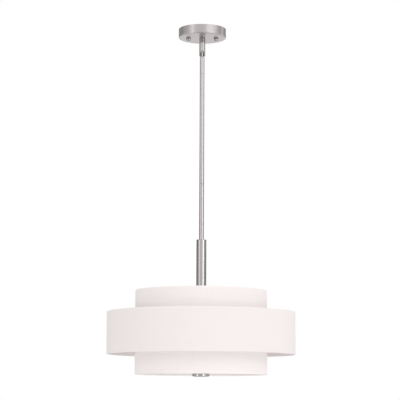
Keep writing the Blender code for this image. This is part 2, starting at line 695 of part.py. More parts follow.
def screw_shell_profile(outside, top):
    """The socket's thin screw shell, rolled into ribs for the bulb's thread."""
    outer = []
    inner = []
    points = SCREW_SHELL_RIBS * 2 + 1
    for index in range(points):
        height = top - SCREW_SHELL_LENGTH * index / (points - 1)
        radius = outside - (SCREW_SHELL_RIB if index % 2 else 0)
        outer.append((radius, height))
        inner.append((radius - SCREW_SHELL_WALL, height))
    return outer + inner[::-1]


def build_socket_cluster():
    """A wiring cup closed by a plate, and the bulb sockets bolted under the plate."""
    hole = PIPE_RADIUS + THREAD_GAP
    corner_place = CUP_RADIUS - CUP_CORNER_RADIUS
    corner_height = cup_top - CUP_CORNER_RADIUS
    profile = [(hole, cup_top)]
    profile += arc(corner_place, corner_height, CUP_CORNER_RADIUS, 90, 0, CORNER_POINTS)
    profile += [(CUP_RADIUS, cup_bottom), (CUP_RADIUS - CUP_WALL, cup_bottom)]
    profile += arc(corner_place, corner_height, CUP_CORNER_RADIUS - CUP_WALL, 0, 90, CORNER_POINTS)
    profile += [(hole, cup_top - CUP_WALL)]
    place(turned("wiring_cup", profile, SLEEVE_STEPS), NICKEL, tilt_axis)

    plate = turned("socket_plate", ring_profile(hole, PLATE_RADIUS, plate_bottom, plate_top), SLEEVE_STEPS)
    body_top = plate_bottom - SEAT_GAP
    mouth = body_top - SOCKET_LENGTH
    cavity_top = body_top - SOCKET_BASE_THICKNESS
    cavity_radius = SOCKET_RADIUS - SOCKET_WALL
    bolt_hole = SOCKET_BOLT_RADIUS + THREAD_GAP
    head_bottom = plate_top + SEAT_GAP
    bolt_tip = body_top - SOCKET_BOLT_GRIP
    neck_bottom = body_top - SOCKET_NECK_LENGTH
    shell_top = cavity_top - SCREW_SHELL_SETBACK
    contact_top = cavity_top - SEAT_GAP
    contact_bottom = contact_top - CONTACT_THICKNESS
    for number in range(1, SOCKET_COUNT + 1):
        azimuth = FIRST_SOCKET_DEG + (number - 1) * 360.0 / SOCKET_COUNT
        stand = around(azimuth) @ Matrix.Translation((SOCKET_CIRCLE_RADIUS, 0, 0))
        x, y = stand.translation.xy
        cut(plate, prism(
            f"plate_hole_cut_{number}", SMALL_STEPS, bolt_hole, plate_bottom - CUT_OVERRUN,
            plate_top + CUT_OVERRUN, centre=(x, y),
        ))
        place(turned(f"socket_body_{number}", [
            (SOCKET_NECK_RADIUS, body_top), (SOCKET_NECK_RADIUS, neck_bottom),
            (SOCKET_RADIUS, neck_bottom - SOCKET_SHOULDER), (SOCKET_RADIUS, mouth), (cavity_radius, mouth),
            (cavity_radius, cavity_top), (bolt_hole, cavity_top), (bolt_hole, body_top),
        ], ROUND_STEPS, matrix=stand), PHENOLIC, tilt_axis)
        place(turned(
            f"socket_shell_{number}", screw_shell_profile(cavity_radius - SCREW_SHELL_GAP, shell_top),
            ROUND_STEPS, matrix=stand,
        ), SHELL_METAL, tilt_axis)
        place(turned(f"socket_contact_{number}", [
            (0, contact_top), (CONTACT_RADIUS, contact_top), (CONTACT_RADIUS, contact_bottom),
            (CONTACT_BUTTON_RADIUS, contact_bottom),
            (CONTACT_BUTTON_RADIUS, contact_bottom - CONTACT_BUTTON_DROP),
            (0, contact_bottom - CONTACT_BUTTON_DROP),
        ], SMALL_STEPS, closed=False, matrix=stand), BRASS, tilt_axis)
        bolt = prism(
            f"socket_bolt_{number}", HEX_SIDES, hexagon_radius(SOCKET_BOLT_FLATS), head_bottom,
            head_bottom + SOCKET_BOLT_HEAD, centre=(x, y), turn=math.radians(azimuth),
        )
        shank = prism(
            f"bolt_shank_{number}", SMALL_STEPS, SOCKET_BOLT_RADIUS, bolt_tip,
            head_bottom + SOCKET_BOLT_HEAD / 2, centre=(x, y),
        )
        bore = prism(
            f"bolt_bore_{number}", SMALL_STEPS, SOCKET_BOLT_BORE_RADIUS, bolt_tip - CUT_OVERRUN,
            head_bottom + SOCKET_BOLT_HEAD + CUT_OVERRUN, centre=(x, y),
        )
        place(cut(join(bolt, shank), bore), ZINC, tilt_axis)
    place(plate, ZINC, tilt_axis)


def arm_azimuth(number):
    return FIRST_ARM_DEG + (number - 1) * 360.0 / ARM_COUNT


def build_hub_and_arms():
    """Straight arms screw into a hub, pass the inner drum in eyelets and hold the outer one."""
    pipe_hole = PIPE_RADIUS + THREAD_GAP
    rod_hole = DIFFUSER_ROD_RADIUS + THREAD_GAP
    step = hub_top - HUB_PIPE_DEPTH
    arm_hole = ARM_RADIUS + THREAD_GAP
    hub = turned("arm_hub", [
        (HUB_RADIUS, hub_top), (HUB_RADIUS, hub_bottom + HUB_CHAMFER), (HUB_RADIUS - HUB_CHAMFER, hub_bottom),
        (rod_hole, hub_bottom), (rod_hole, step), (pipe_hole, step), (pipe_hole, hub_top),
    ], ROUND_STEPS)
    lug_inner = outer_ring_radius - LUG_LENGTH
    for number in range(1, ARM_COUNT + 1):
        radial = outward(arm_azimuth(number), arm_level)
        bore = prism(
            f"hub_hole_cut_{number}", SMALL_STEPS, arm_hole, ARM_HOLE_END_RADIUS, HUB_RADIUS + CUT_OVERRUN
        )
        bore.matrix_world = radial
        cut(hub, bore)
        arm = prism(
            f"tier_arm_{number}", SMALL_STEPS, ARM_RADIUS, ARM_HOLE_END_RADIUS + SEAT_GAP,
            outer_ring_radius - ARM_TIP_SETBACK,
        )
        arm.matrix_world = radial
        place(arm, NICKEL, tilt_axis)

        nut_outer = lug_inner - SEAT_GAP
        nut_inner = nut_outer - ARM_NUT_THICKNESS
        nut = prism(f"arm_nut_{number}", HEX_SIDES, hexagon_radius(ARM_NUT_FLATS), nut_inner, nut_outer)
        nut.matrix_world = radial
        nut_bore = prism(
            f"arm_nut_bore_{number}", SMALL_STEPS, arm_hole, nut_inner - CUT_OVERRUN, nut_outer + CUT_OVERRUN
        )
        nut_bore.matrix_world = radial
        place(cut(nut, nut_bore), NICKEL, tilt_axis)

        barrel = arm_hole + EYELET_WALL
        flange = barrel + EYELET_FLANGE_REACH
        outside = inner_wall_outside + SEAT_GAP
        inside = inner_wall_inside - SEAT_GAP
        place(turned(f"arm_eyelet_{number}", [
            (flange, outside + EYELET_FLANGE_THICKNESS), (flange, outside), (barrel, outside),
            (barrel, inside), (flange, inside), (flange, inside - EYELET_FLANGE_THICKNESS),
            (arm_hole, inside - EYELET_FLANGE_THICKNESS), (arm_hole, outside + EYELET_FLANGE_THICKNESS),
        ], SMALL_STEPS, matrix=radial), NICKEL, tilt_axis)
    place(hub, NICKEL, tilt_axis)


def wire_ring(name, ring_radius, level):
    """A welded wire ring whose facets lie along the drum's own."""
    profile = []
    for index in range(WIRE_SIDES):
        angle = math.pi / 2 - 2 * math.pi * index / WIRE_SIDES
        profile.append((
            ring_radius + RING_WIRE_RADIUS * math.cos(angle), level + RING_WIRE_RADIUS * math.sin(angle)
        ))
    return turned(name, profile, DRUM_STEPS, matrix=Matrix.Rotation(math.pi / DRUM_STEPS, 4, "Z"))


def build_drum_walls(prefix, radius, top, bottom):
    """The stiff liner, and the fabric laminated round it."""
    facet_turn = Matrix.Rotation(math.pi / DRUM_STEPS, 4, "Z")
    liner_outside = radius - FABRIC_THICKNESS - SEAT_GAP
    liner = turned(
        f"{prefix}_liner", ring_profile(radius - wall_depth, liner_outside, bottom, top), DRUM_STEPS,
        matrix=facet_turn,
    )
    fabric = turned(
        f"{prefix}_fabric", ring_profile(radius - FABRIC_THICKNESS, radius, bottom, top), DRUM_STEPS,
        matrix=facet_turn,
    )
    return place(liner, LINER, tilt_axis), place(fabric, FABRIC, tilt_axis)


def build_inner_drum():
    liner, fabric = build_drum_walls("inner", INNER_RADIUS, inner_top, inner_bottom)
    hole_radius = ARM_RADIUS + THREAD_GAP + EYELET_WALL + THREAD_GAP
    for number in range(1, ARM_COUNT + 1):
        for wall, word in ((liner, "liner"), (fabric, "fabric")):
            cutter = prism(
                f"{word}_hole_cut_{number}", SMALL_STEPS, hole_radius, inner_wall_inside - CUT_OVERRUN,
                inner_wall_outside + CUT_OVERRUN,
            )
            cutter.matrix_world = outward(arm_azimuth(number), arm_level)
            cut(wall, cutter)
    place(wire_ring("inner_bottom_ring", inner_ring_radius, inner_bottom + ring_inset), WIRE, tilt_axis)

    frame = wire_ring("inner_top_frame", inner_ring_radius, inner_ring_level)
    washer_hole = PIPE_RADIUS + THREAD_GAP
    arm_low = spider_washer_top + SPIDER_WIRE_RADIUS - SPIDER_WELD_DEPTH
    inner_end = SLEEVE_RADIUS + SPIDER_ARM_SETBACK
    for number in range(1, ARM_COUNT + 1):
        points = [(inner_ring_radius, 0, inner_ring_level)]
        for index in range(BEND_POINTS):
            share = index / (BEND_POINTS - 1)
            fall = share * share * (3 - 2 * share)
            points.append((
                SPIDER_BEND_START + (SPIDER_BEND_END - SPIDER_BEND_START) * share, 0,
                inner_ring_level + (arm_low - inner_ring_level) * fall,
            ))
        points.append((inner_end, 0, arm_low))
        arm = wire_mesh(f"spider_arm_{number}", points, SPIDER_WIRE_RADIUS)
        arm.matrix_world = around(arm_azimuth(number))
        join(frame, arm)
    washer = ring_profile(washer_hole, SPIDER_WASHER_RADIUS, spider_washer_bottom, spider_washer_top)
    join(frame, turned("spider_washer", washer, ROUND_STEPS))
    place(frame, WIRE, tilt_axis)


def build_outer_drum():
    build_drum_walls("outer", OUTER_RADIUS, outer_top, outer_bottom)
    place(wire_ring("outer_bottom_ring", outer_ring_radius, outer_bottom + ring_inset), WIRE, tilt_axis)
    frame = wire_ring("outer_top_frame", outer_ring_radius, outer_ring_level)
    lug_bottom = arm_level - LUG_BELOW_ARM
    lug_height = outer_ring_level - lug_bottom
    bores = []
    for number in range(1, ARM_COUNT + 1):
        lug = block(
            f"arm_lug_{number}", (LUG_LENGTH, LUG_WIDTH, lug_height),
            (outer_ring_radius - LUG_LENGTH / 2, 0, lug_bottom + lug_height / 2),
        )
        lug.matrix_world = around(arm_azimuth(number))
        join(frame, lug)
        bore = prism(
            f"lug_bore_{number}", SMALL_STEPS, ARM_RADIUS + THREAD_GAP,
            outer_ring_radius - LUG_LENGTH - CUT_OVERRUN, outer_ring_radius + CUT_OVERRUN,
        )
        bore.matrix_world = outward(arm_azimuth(number), arm_level)
        bores.append(bore)
    for bore in bores:
        cut(frame, bore)
    place(frame, WIRE, tilt_axis)


def build_diffuser_and_finial():
    """A white disc that closes the inner drum from below, its threaded rod, and the finial that holds it."""
    rod_hole = DIFFUSER_ROD_RADIUS + THREAD_GAP
    place(turned(
        "diffuser", ring_profile(rod_hole, inner_wall_inside - PANEL_GAP, diffuser_bottom, diffuser_top),
        DRUM_STEPS, matrix=Matrix.Rotation(math.pi / DRUM_STEPS, 4, "Z"),
    ), ACRYLIC, tilt_axis)
    hole_bottom = finial_bottom + FINIAL_FLOOR
    place(prism(
        "diffuser_rod", SMALL_STEPS, DIFFUSER_ROD_RADIUS, hole_bottom + SEAT_GAP,
        hub_top - HUB_PIPE_DEPTH - SEAT_GAP,
    ), ZINC, tilt_axis)
    profile = [(0, hole_bottom), (rod_hole, hole_bottom), (rod_hole, finial_top)]
    profile += arc(
        FINIAL_RADIUS - FINIAL_TOP_RADIUS, finial_top - FINIAL_TOP_RADIUS, FINIAL_TOP_RADIUS, 90, 0,
        FINIAL_TOP_POINTS,
    )
    edge_height = finial_bottom + FINIAL_CROWN + FINIAL_EDGE_RADIUS
    profile += arc(FINIAL_RADIUS - FINIAL_EDGE_RADIUS, edge_height, FINIAL_EDGE_RADIUS, 0, -90, CORNER_POINTS)
    profile += [(0, finial_bottom)]
    place(turned("finial", profile, FINIAL_STEPS, closed=False), NICKEL, finial_axis)


build_canopy(*build_crossbar())
build_swivel_collar()
build_stem_and_rods()
build_sleeve()
build_socket_cluster()
build_hub_and_arms()
build_inner_drum()
build_outer_drum()
build_diffuser_and_finial()
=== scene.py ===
import json
import math

import bmesh
import bpy
from mathutils import Matrix, Vector


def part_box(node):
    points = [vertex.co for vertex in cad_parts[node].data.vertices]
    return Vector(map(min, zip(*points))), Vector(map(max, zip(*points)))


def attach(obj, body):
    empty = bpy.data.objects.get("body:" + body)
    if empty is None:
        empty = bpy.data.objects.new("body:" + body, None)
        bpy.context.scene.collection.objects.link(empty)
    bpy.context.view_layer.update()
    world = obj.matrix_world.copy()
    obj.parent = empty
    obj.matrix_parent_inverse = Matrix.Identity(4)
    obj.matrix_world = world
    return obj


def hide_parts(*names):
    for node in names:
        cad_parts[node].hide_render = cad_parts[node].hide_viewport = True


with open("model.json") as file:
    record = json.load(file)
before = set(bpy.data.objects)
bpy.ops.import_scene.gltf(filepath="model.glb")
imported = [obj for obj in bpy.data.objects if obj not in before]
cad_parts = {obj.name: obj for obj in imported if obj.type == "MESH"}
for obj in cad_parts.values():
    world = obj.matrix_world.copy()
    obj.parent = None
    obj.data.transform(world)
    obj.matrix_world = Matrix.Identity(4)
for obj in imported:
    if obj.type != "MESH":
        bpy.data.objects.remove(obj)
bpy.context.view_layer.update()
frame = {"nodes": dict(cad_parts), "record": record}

# Camera, in metres and degrees
CAMERA_PLACE = (-0.0044, -4.083, -1.0225)
CAMERA_TILT_DEG = 97.64
CAMERA_ROLL_DEG = 0.26
CAMERA_LENS = 136.3
SENSOR_WIDTH = 36.0

# Floor
FLOOR_LEVEL = -2.6
FLOOR_SIZE = 9.0
FLOOR_CELLS = 8

# Fineness of the meshes
DRUM_STEPS = 192
CANOPY_STEPS = 160
TUBE_STEPS = 96
ROUND_STEPS = 64
SMALL_STEPS = 40
WIRE_STEPS = 16
FILLET_POINTS = 6
REFINE_SEGMENTS = 2
LUG_SEGMENTS = 3
SPIDER_WIRE_SEGMENTS = 4
SHARP_ANGLE = math.radians(40)
FLAT_ANGLE = math.radians(1)
POLE_RADIUS = 0.00001

# Small forms, in metres
CANOPY_WALL = 0.001
CANOPY_CORNER = 0.003
CANOPY_HOLE = 0.00515
CANOPY_EDGE = 0.0004
KNOB_SIDE = 0.0035
KNOB_BORE = 0.0024
KNOB_BORE_DEPTH = 0.0058
KNOB_EDGE = 0.0006
KNOB_DOME_POINTS = 12
EDGE = 0.0004
FINE_EDGE = 0.0002
FIT_GAP = 0.0003
COLLAR_WALL = 0.00185
COLLAR_CAVITY_RISE = 0.0184
COLLAR_BORE = 0.003
SLOT_WIDTH = 0.0096
SLOT_RISE = 0.0134
PIN_HOLE_RADIUS = 0.0017
NIPPLE_RADIUS = 0.00485
CUT_OVERRUN = 0.002
BALL_RADIUS = 0.006
NECK_RADIUS = 0.0041
NECK_DROP = 0.0144
TAPER_LENGTH = 0.0012
SHANK_LENGTH = 0.0466
STEM_BORE = 0.0024
ROD_BORE = 0.0052
CAP_LIP = 0.0015
CAP_HOLE = 0.00515
SLEEVE_WALL = 0.001
CUP_WALL = 0.0012
CUP_CORNER = 0.005
PLATE_EDGE = 0.0007
SOCKET_NECK_RADIUS = 0.0135
SOCKET_NECK_LENGTH = 0.006
SOCKET_SHOULDER = 0.0035
SOCKET_WALL = 0.002
SOCKET_BASE = 0.008
SOCKET_BOLT_HOLE = 0.0043
SOCKET_RIB_COUNT = 5
SOCKET_RIB_HEIGHT = 0.0008
SOCKET_RIB_PITCH = 0.005
HUB_CHAMFER = 0.001
HUB_STEP_DEPTH = 0.0145
HUB_ROD_HOLE = 0.0033
THREAD_PITCH = 0.0008
THREAD_DEPTH = 0.0003
THREAD_TURNS = 15
FIRST_ARM_DEG = 90.0
ARM_STEP_DEG = 120.0
ARM_LUG_WIDTH = 0.010
ARM_LUG_LENGTH = 0.009
ARM_LUG_EDGE = 0.0006
EYELET_HOLE = 0.0028
EYELET_BARREL = 0.0040
EYELET_FLANGE = 0.0062
EYELET_FLANGE_THICKNESS = 0.0008
FABRIC_THICKNESS = 0.0006
LINER_THICKNESS = 0.001
SHEET_GAP = 0.0002
RIM_RADIUS = 0.0023
RIM_POINTS = 14
RIM_TURN_IN_DEG = 215
RIM_TAIL = 0.0095
SEAM_AZIMUTH_DEG = 120
SEAM_COLUMNS = 8
SEAM_WIDTH = 0.009
SEAM_RISE = 0.0003
WIRE_RADIUS = 0.0016
SPIDER_WIRE_RADIUS = 0.0018
SPIDER_BEND_START = 0.062
SPIDER_BEND_END = 0.030
SPIDER_WASHER_RADIUS = 0.024
SPIDER_WASHER_THICKNESS = 0.002
SPIDER_WELD_DEPTH = 0.0004
SPIDER_END_GAP = 0.0006
SPIDER_BEND_POINTS = 16
DIFFUSER_EDGE = 0.0008
DIFFUSER_HOLE = 0.0033
FINIAL_CORNER = 0.0030
FINIAL_TOP_CORNER = 0.0010
FINIAL_CROWN = 0.0008
FINIAL_BORE_DEPTH = 0.0067
REFINE_EDGE = 0.00025

# Finishes: stretches and scales in waves per metre, relief in metres, tones as shares of the colour
UNSTRETCHED = (1.0, 1.0, 1.0)
TURNED_LINES = (25.0, 3500.0, 1.0)
SPUN_LINES = (30.0, 2800.0, 1.0)
DRAWN_LINES = (1500.0, 4.0, 1.0)
SLUBS_ROUND = (22.0, 900.0, 1.0)
SLUBS_DOWN = (900.0, 18.0, 1.0)
FUZZ = (5200.0, 5200.0, 1.0)
CLOUDS = (14.0, 14.0, 14.0)
SPECKS = (2400.0, 2400.0, 2400.0)
THREAD_BLOOM = (150.0, 150.0, 150.0)
SPANGLE_SCALE = 900.0
BLOOM_SCALE = 60.0
DRIFT_SCALE = 25.0
NOISE_RANGE = (0.3, 0.7)
NICKEL_TONES = (0.96, 1.04)
ZINC_TONES = (0.86, 1.08)
THREAD_GROOVE_SHADE_AND_BLOOM_TONES = (0.7, 1.05)
CLOTH_TONES = (0.975, 1.02)
NICKEL_GLOSS_RANGE = (0.25, 0.75)
NICKEL_GLOSS_FACTORS = (0.88, 1.14)
ZINC_ROUGHNESS = (0.28, 0.5)
THREAD_ROUGHNESS = (0.26, 0.42)
CLOTH_ROUGHNESS = (0.78, 0.95)
COATED_ROUGHNESS_STEPS = (-0.05, 0.07)
LINE_RELIEF = 0.00003
LINE_DEPTH = 0.06
DRAWN_DEPTH = 0.02
BLOOM_RELIEF = 0.00005
WEAVE_RELIEF = 0.00012
WEAVE_PITCH = 0.00055

BODY_OF = {node: body for body, nodes in frame["record"]["behaviour"]["bodies"].items() for node in nodes}


def low(node):
    return Vector(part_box(node)[0])


def high(node):
    return Vector(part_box(node)[1])


def middle(node):
    return (low(node) + high(node)) / 2


# Node trees


def add(tree, kind, values=None, **settings):
    """A node with its settings and the values of its inputs, which may be sockets or plain values."""
    made = tree.nodes.new(kind)
    for name, value in settings.items():
        setattr(made, name, value)
    for name, value in (values or {}).items():
        if isinstance(value, bpy.types.NodeSocket):
            tree.links.new(value, made.inputs[name])
        else:
            made.inputs[name].default_value = value
    return made


def place_vector(tree, source, scale):
    """Object or UV coordinates, stretched."""
    place = add(tree, "ShaderNodeTexCoord").outputs[source]
    return add(tree, "ShaderNodeMapping", {"Vector": place, "Scale": scale}).outputs["Vector"]


def noise(tree, vector, scale=1.0, detail=3.0, roughness=0.55):
    values = {"Vector": vector, "Scale": scale, "Detail": detail, "Roughness": roughness}
    return add(tree, "ShaderNodeTexNoise", values).outputs["Fac"]


def spread(tree, value, from_low, from_high, to_low, to_high):
    """A value moved from one range to another, and held within it."""
    values = {
        "Value": value, "From Min": from_low, "From Max": from_high,
        "To Min": to_low, "To Max": to_high,
    }
    return add(tree, "ShaderNodeMapRange", values).outputs["Result"]


def maths(tree, operation, first, second=0.0):
    made = add(tree, "ShaderNodeMath", operation=operation)
    for index, value in enumerate((first, second)):
        if isinstance(value, bpy.types.NodeSocket):
            tree.links.new(value, made.inputs[index])
        else:
            made.inputs[index].default_value = value
    return made.outputs["Value"]


def weighted(tree, *parts):
    """The sum of values, each times its weight."""
    total, *others = [maths(tree, "MULTIPLY", value, weight) for value, weight in parts]
    for term in others:
        total = maths(tree, "ADD", total, term)
    return total


def blend(tree, share, first, second):
    """A colour between two, by a share from 0 to 1. Each colour is a socket or red, green and blue."""
    made = add(tree, "ShaderNodeMix", {"Factor": share}, data_type="RGBA")
    ends = [socket for socket in made.inputs if socket.type == "RGBA"]
    for socket, colour in zip(ends, (first, second)):
        if isinstance(colour, bpy.types.NodeSocket):
            tree.links.new(colour, socket)
        else:
            socket.default_value = (*colour, 1.0)
    return next(socket for socket in made.outputs if socket.type == "RGBA")


def bump(tree, height, distance, strength):
    values = {"Height": height, "Distance": distance, "Strength": strength}
    return add(tree, "ShaderNodeBump", values).outputs["Normal"]


def shade(colour, factor):
    return tuple(min(1.0, channel * factor) for channel in colour)


def tinted(tree, share, colour, tones):
    """A colour between its darker and its lighter tone."""
    return blend(tree, share, *(shade(colour, tone) for tone in tones))


def new_material(name, metallic, **constants):
    """A Principled material. Numbers that are the same all over go straight on its own sockets."""
    made = bpy.data.materials.new(name)
    made.use_nodes = True
    shader = made.node_tree.nodes["Principled BSDF"]
    shader.inputs["Metallic"].default_value = metallic
    for socket, value in constants.items():
        shader.inputs[socket.replace("_", " ")].default_value = value
    return made, made.node_tree, shader


# Finishes


def connect(tree, shader, colour, roughness, normal):
    """Joins what varies over a surface to its shader."""
    for name, socket in (("Base Color", colour), ("Roughness", roughness), ("Normal", normal)):
        tree.links.new(socket, shader.inputs[name])


def brushed_metal(name, colour, roughness, streaks=TURNED_LINES, source="UV", depth=LINE_DEPTH):
    """Satin plate: fine lines round a turned piece or along a drawn one, faint clouding, and uneven gloss."""
    made, tree, shader = new_material(name, 1.0)
    lines = noise(tree, place_vector(tree, source, streaks), 1.0, 4.0, 0.6)
    clouds = noise(tree, place_vector(tree, "Object", CLOUDS), 1.0, 4.0, 0.5)
    specks = noise(tree, place_vector(tree, "Object", SPECKS), 1.0, 2.0, 0.5)
    share = spread(tree, weighted(tree, (lines, 0.45), (clouds, 0.55)), *NOISE_RANGE, 0.0, 1.0)
    uneven = weighted(tree, (lines, 0.7), (specks, 0.3))
    ends = [roughness * factor for factor in NICKEL_GLOSS_FACTORS]
    rough = spread(tree, uneven, *NICKEL_GLOSS_RANGE, *ends)
    relief = bump(tree, lines, LINE_RELIEF, depth)
    connect(tree, shader, tinted(tree, share, colour, NICKEL_TONES), rough, relief)
    return made


def zinc_plate(name, colour):
    """Bright zinc: small spangles and a dull bloom."""
    made, tree, shader = new_material(name, 1.0)
    place = place_vector(tree, "Object", UNSTRETCHED)
    spangle = add(tree, "ShaderNodeTexVoronoi", {"Vector": place, "Scale": SPANGLE_SCALE})
    bloom = noise(tree, place, BLOOM_SCALE, 5.0, 0.6)
    mottle = weighted(tree, (spangle.outputs["Distance"], 0.4), (bloom, 1.0))
    share = spread(tree, mottle, 0.3, 1.0, 0.0, 1.0)
    rough = spread(tree, bloom, *NOISE_RANGE, *ZINC_ROUGHNESS)
    relief = bump(tree, bloom, BLOOM_RELIEF, 0.25)
    connect(tree, shader, tinted(tree, share, colour, ZINC_TONES), rough, relief)
    return made


def threaded_metal(name, colour, pitch):
    """A plated rod with a rolled thread, drawn as fine rings. Painted shade darkens its grooves over the
    plating's bloom.
    """
    made, tree, shader = new_material(name, 1.0)
    place = add(tree, "ShaderNodeSeparateXYZ", {"Vector": place_vector(tree, "Object", UNSTRETCHED)})
    turns = maths(tree, "SINE", maths(tree, "MULTIPLY", place.outputs["Z"], 2 * math.pi / pitch))
    bloom = noise(tree, place_vector(tree, "Object", THREAD_BLOOM), 1.0, 4.0, 0.6)
    # The colour follows the thread as well as the bloom: painted shade makes the thread's grooves darker.
    share = spread(tree, weighted(tree, (turns, 0.25), (bloom, 1.0)), 0.2, 0.9, 0.0, 1.0)
    rough = spread(tree, bloom, *NOISE_RANGE, *THREAD_ROUGHNESS)
    relief = bump(tree, turns, pitch / 3, 0.8)
    connect(tree, shader, tinted(tree, share, colour, THREAD_GROOVE_SHADE_AND_BLOOM_TONES), rough, relief)
    return made


def coated(name, colour, roughness, grain_scale, depth, metallic=0.0, variation=0.03, **constants):
    """A coated or moulded surface: even colour with a faint drift, and an orange-peel or moulded grain."""
    made, tree, shader = new_material(name, metallic, **constants)
    place = place_vector(tree, "Object", UNSTRETCHED)
    drift = noise(tree, place, DRIFT_SCALE, 3.0, 0.5)
    grain = noise(tree, place, grain_scale, 3.0, 0.55)
    share = spread(tree, drift, *NOISE_RANGE, 0.0, 1.0)
    ends = [roughness + step for step in COATED_ROUGHNESS_STEPS]
    rough = spread(tree, grain, *NOISE_RANGE, *ends)
    relief = bump(tree, grain, depth, 0.5)
    connect(tree, shader, tinted(tree, share, colour, (1.0 - variation, 1.0 + variation)), rough, relief)
    return made


def woven(name, colour, pitch=WEAVE_PITCH):
    """Plain-woven shade cloth: crossing threads, slubs along both thread directions, and soft fuzz."""
    made, tree, shader = new_material(
        name, 0.0, Sheen_Weight=0.15, Sheen_Roughness=0.5, Specular_IOR_Level=0.25,
    )
    parts = add(tree, "ShaderNodeSeparateXYZ", {"Vector": place_vector(tree, "UV", UNSTRETCHED)})
    weft, warp = (
        maths(tree, "SINE", maths(tree, "MULTIPLY", parts.outputs[axis], math.pi / pitch)) for axis in "XY"
    )
    crossing = maths(tree, "MULTIPLY", weft, warp)
    slubs_round, slubs_down = (
        noise(tree, place_vector(tree, "UV", stretch), 1.0, 3.0, 0.6) for stretch in (SLUBS_ROUND, SLUBS_DOWN)
    )
    fuzz = noise(tree, place_vector(tree, "UV", FUZZ), 1.0, 2.0, 0.6)
    slubs = weighted(tree, (slubs_round, 0.6), (slubs_down, 0.4))
    height = weighted(tree, (crossing, 0.35), (slubs, 1.4), (fuzz, 0.25))
    share = spread(tree, weighted(tree, (slubs, 1.0), (crossing, 0.05)), 0.35, 0.65, 0.0, 1.0)
    rough = spread(tree, fuzz, *NOISE_RANGE, *CLOTH_ROUGHNESS)
    relief = bump(tree, height, WEAVE_RELIEF, 0.35)
    connect(tree, shader, tinted(tree, share, colour, CLOTH_TONES), rough, relief)
    return made


NICKEL_COLOUR = (0.465, 0.448, 0.444)
COLLAR_COLOUR = (0.410, 0.396, 0.392)
NICKEL = brushed_metal("brushed_nickel", NICKEL_COLOUR, 0.20)
NICKEL_DRAWN = brushed_metal("drawn_nickel", NICKEL_COLOUR, 0.13, DRAWN_LINES, depth=DRAWN_DEPTH)
NICKEL_COLLAR = brushed_metal("collar_nickel", COLLAR_COLOUR, 0.17, DRAWN_LINES, depth=DRAWN_DEPTH)
NICKEL_CANOPY = brushed_metal("brushed_nickel_canopy", (0.482, 0.457, 0.457), 0.33, SPUN_LINES)
NICKEL_FINIAL = brushed_metal("brushed_nickel_finial", NICKEL_COLOUR, 0.11)
NICKEL_PLAIN = brushed_metal("nickel_small_parts", NICKEL_COLOUR, 0.26, (900.0, 900.0, 60.0), "Object")
ZINC = zinc_plate("zinc_plated_steel", (0.54, 0.55, 0.57))
GREEN = coated("green_screw", (0.05, 0.32, 0.11), 0.35, 1500.0, 0.00004, metallic=0.5, variation=0.12)
THREAD = threaded_metal("threaded_steel", (0.66, 0.67, 0.69), 0.00127)
# Both drums are the same cloth. Its two tones are painted light: the inner drum's cloth is lighter than the
# outer's, to cancel the shade that the outer drum casts on the inner drum.
FABRIC_INNER_PAINTED_LIGHTER = woven("shade_fabric_inner_painted_lighter", (0.914, 0.869, 0.866))
FABRIC_OUTER_PAINTED_DARKER = woven("shade_fabric_outer_painted_darker", (0.850, 0.804, 0.802))
LINER = coated("shade_liner", (0.90, 0.885, 0.870), 0.42, 2600.0, 0.00002, variation=0.015)
WIRE = coated("white_painted_wire", (0.84, 0.83, 0.81), 0.40, 1400.0, 0.00005, Coat_Weight=0.25)
ACRYLIC = coated(
    "white_acrylic", (0.90, 0.885, 0.875), 0.32, 700.0, 0.00002, variation=0.01, Coat_Weight=0.15,
)
PHENOLIC = coated("socket_phenolic", (0.80, 0.78, 0.74), 0.38, 1800.0, 0.00004, variation=0.04)
SHELL_METAL = brushed_metal(
    "screw_shell_aluminium", (0.80, 0.79, 0.76), 0.3, (500.0, 500.0, 2500.0), "Object",
)
BRASS = brushed_metal("contact_brass", (0.75, 0.58, 0.28), 0.3, (1500.0, 1500.0, 1500.0), "Object")
FLOOR = coated("pale_floor", (0.86, 0.86, 0.86), 0.7, 40.0, 0.0004, variation=0.01)


# Meshes


def rounded(corners, closed=True, points=FILLET_POINTS):
    """A profile from (radius, height, fillet) corners, with each fillet drawn as an arc."""
    made = []
    last = len(corners) - 1
    for index, (radius, height, fillet) in enumerate(corners):
        here = Vector((radius, height))
        if fillet == 0 or (not closed and index in (0, last)):
            made.append(here)
            continue
        before = (Vector(corners[index - 1][:2]) - here).normalized()
        after = (Vector(corners[0 if index == last else index + 1][:2]) - here).normalized()
        half = before.angle(after) / 2
        reach = fillet / math.tan(half)
        centre = here + (before + after).normalized() * (fillet / math.sin(half))
        start = here + before * reach - centre
        end = here + after * reach - centre
        made += [centre + start.slerp(end, step / (points - 1)) * fillet for step in range(points)]
    return made


def arc(centre_radius, centre_height, radius, start_deg, end_deg, points):
    """A profile's arc, with degrees counted from straight out, up being positive."""
    made = []
    for index in range(points):
        angle = math.radians(start_deg + (end_deg - start_deg) * index / (points - 1))
        place = (centre_radius + radius * math.cos(angle), centre_height + radius * math.sin(angle))
        made.append(Vector(place))
    return made


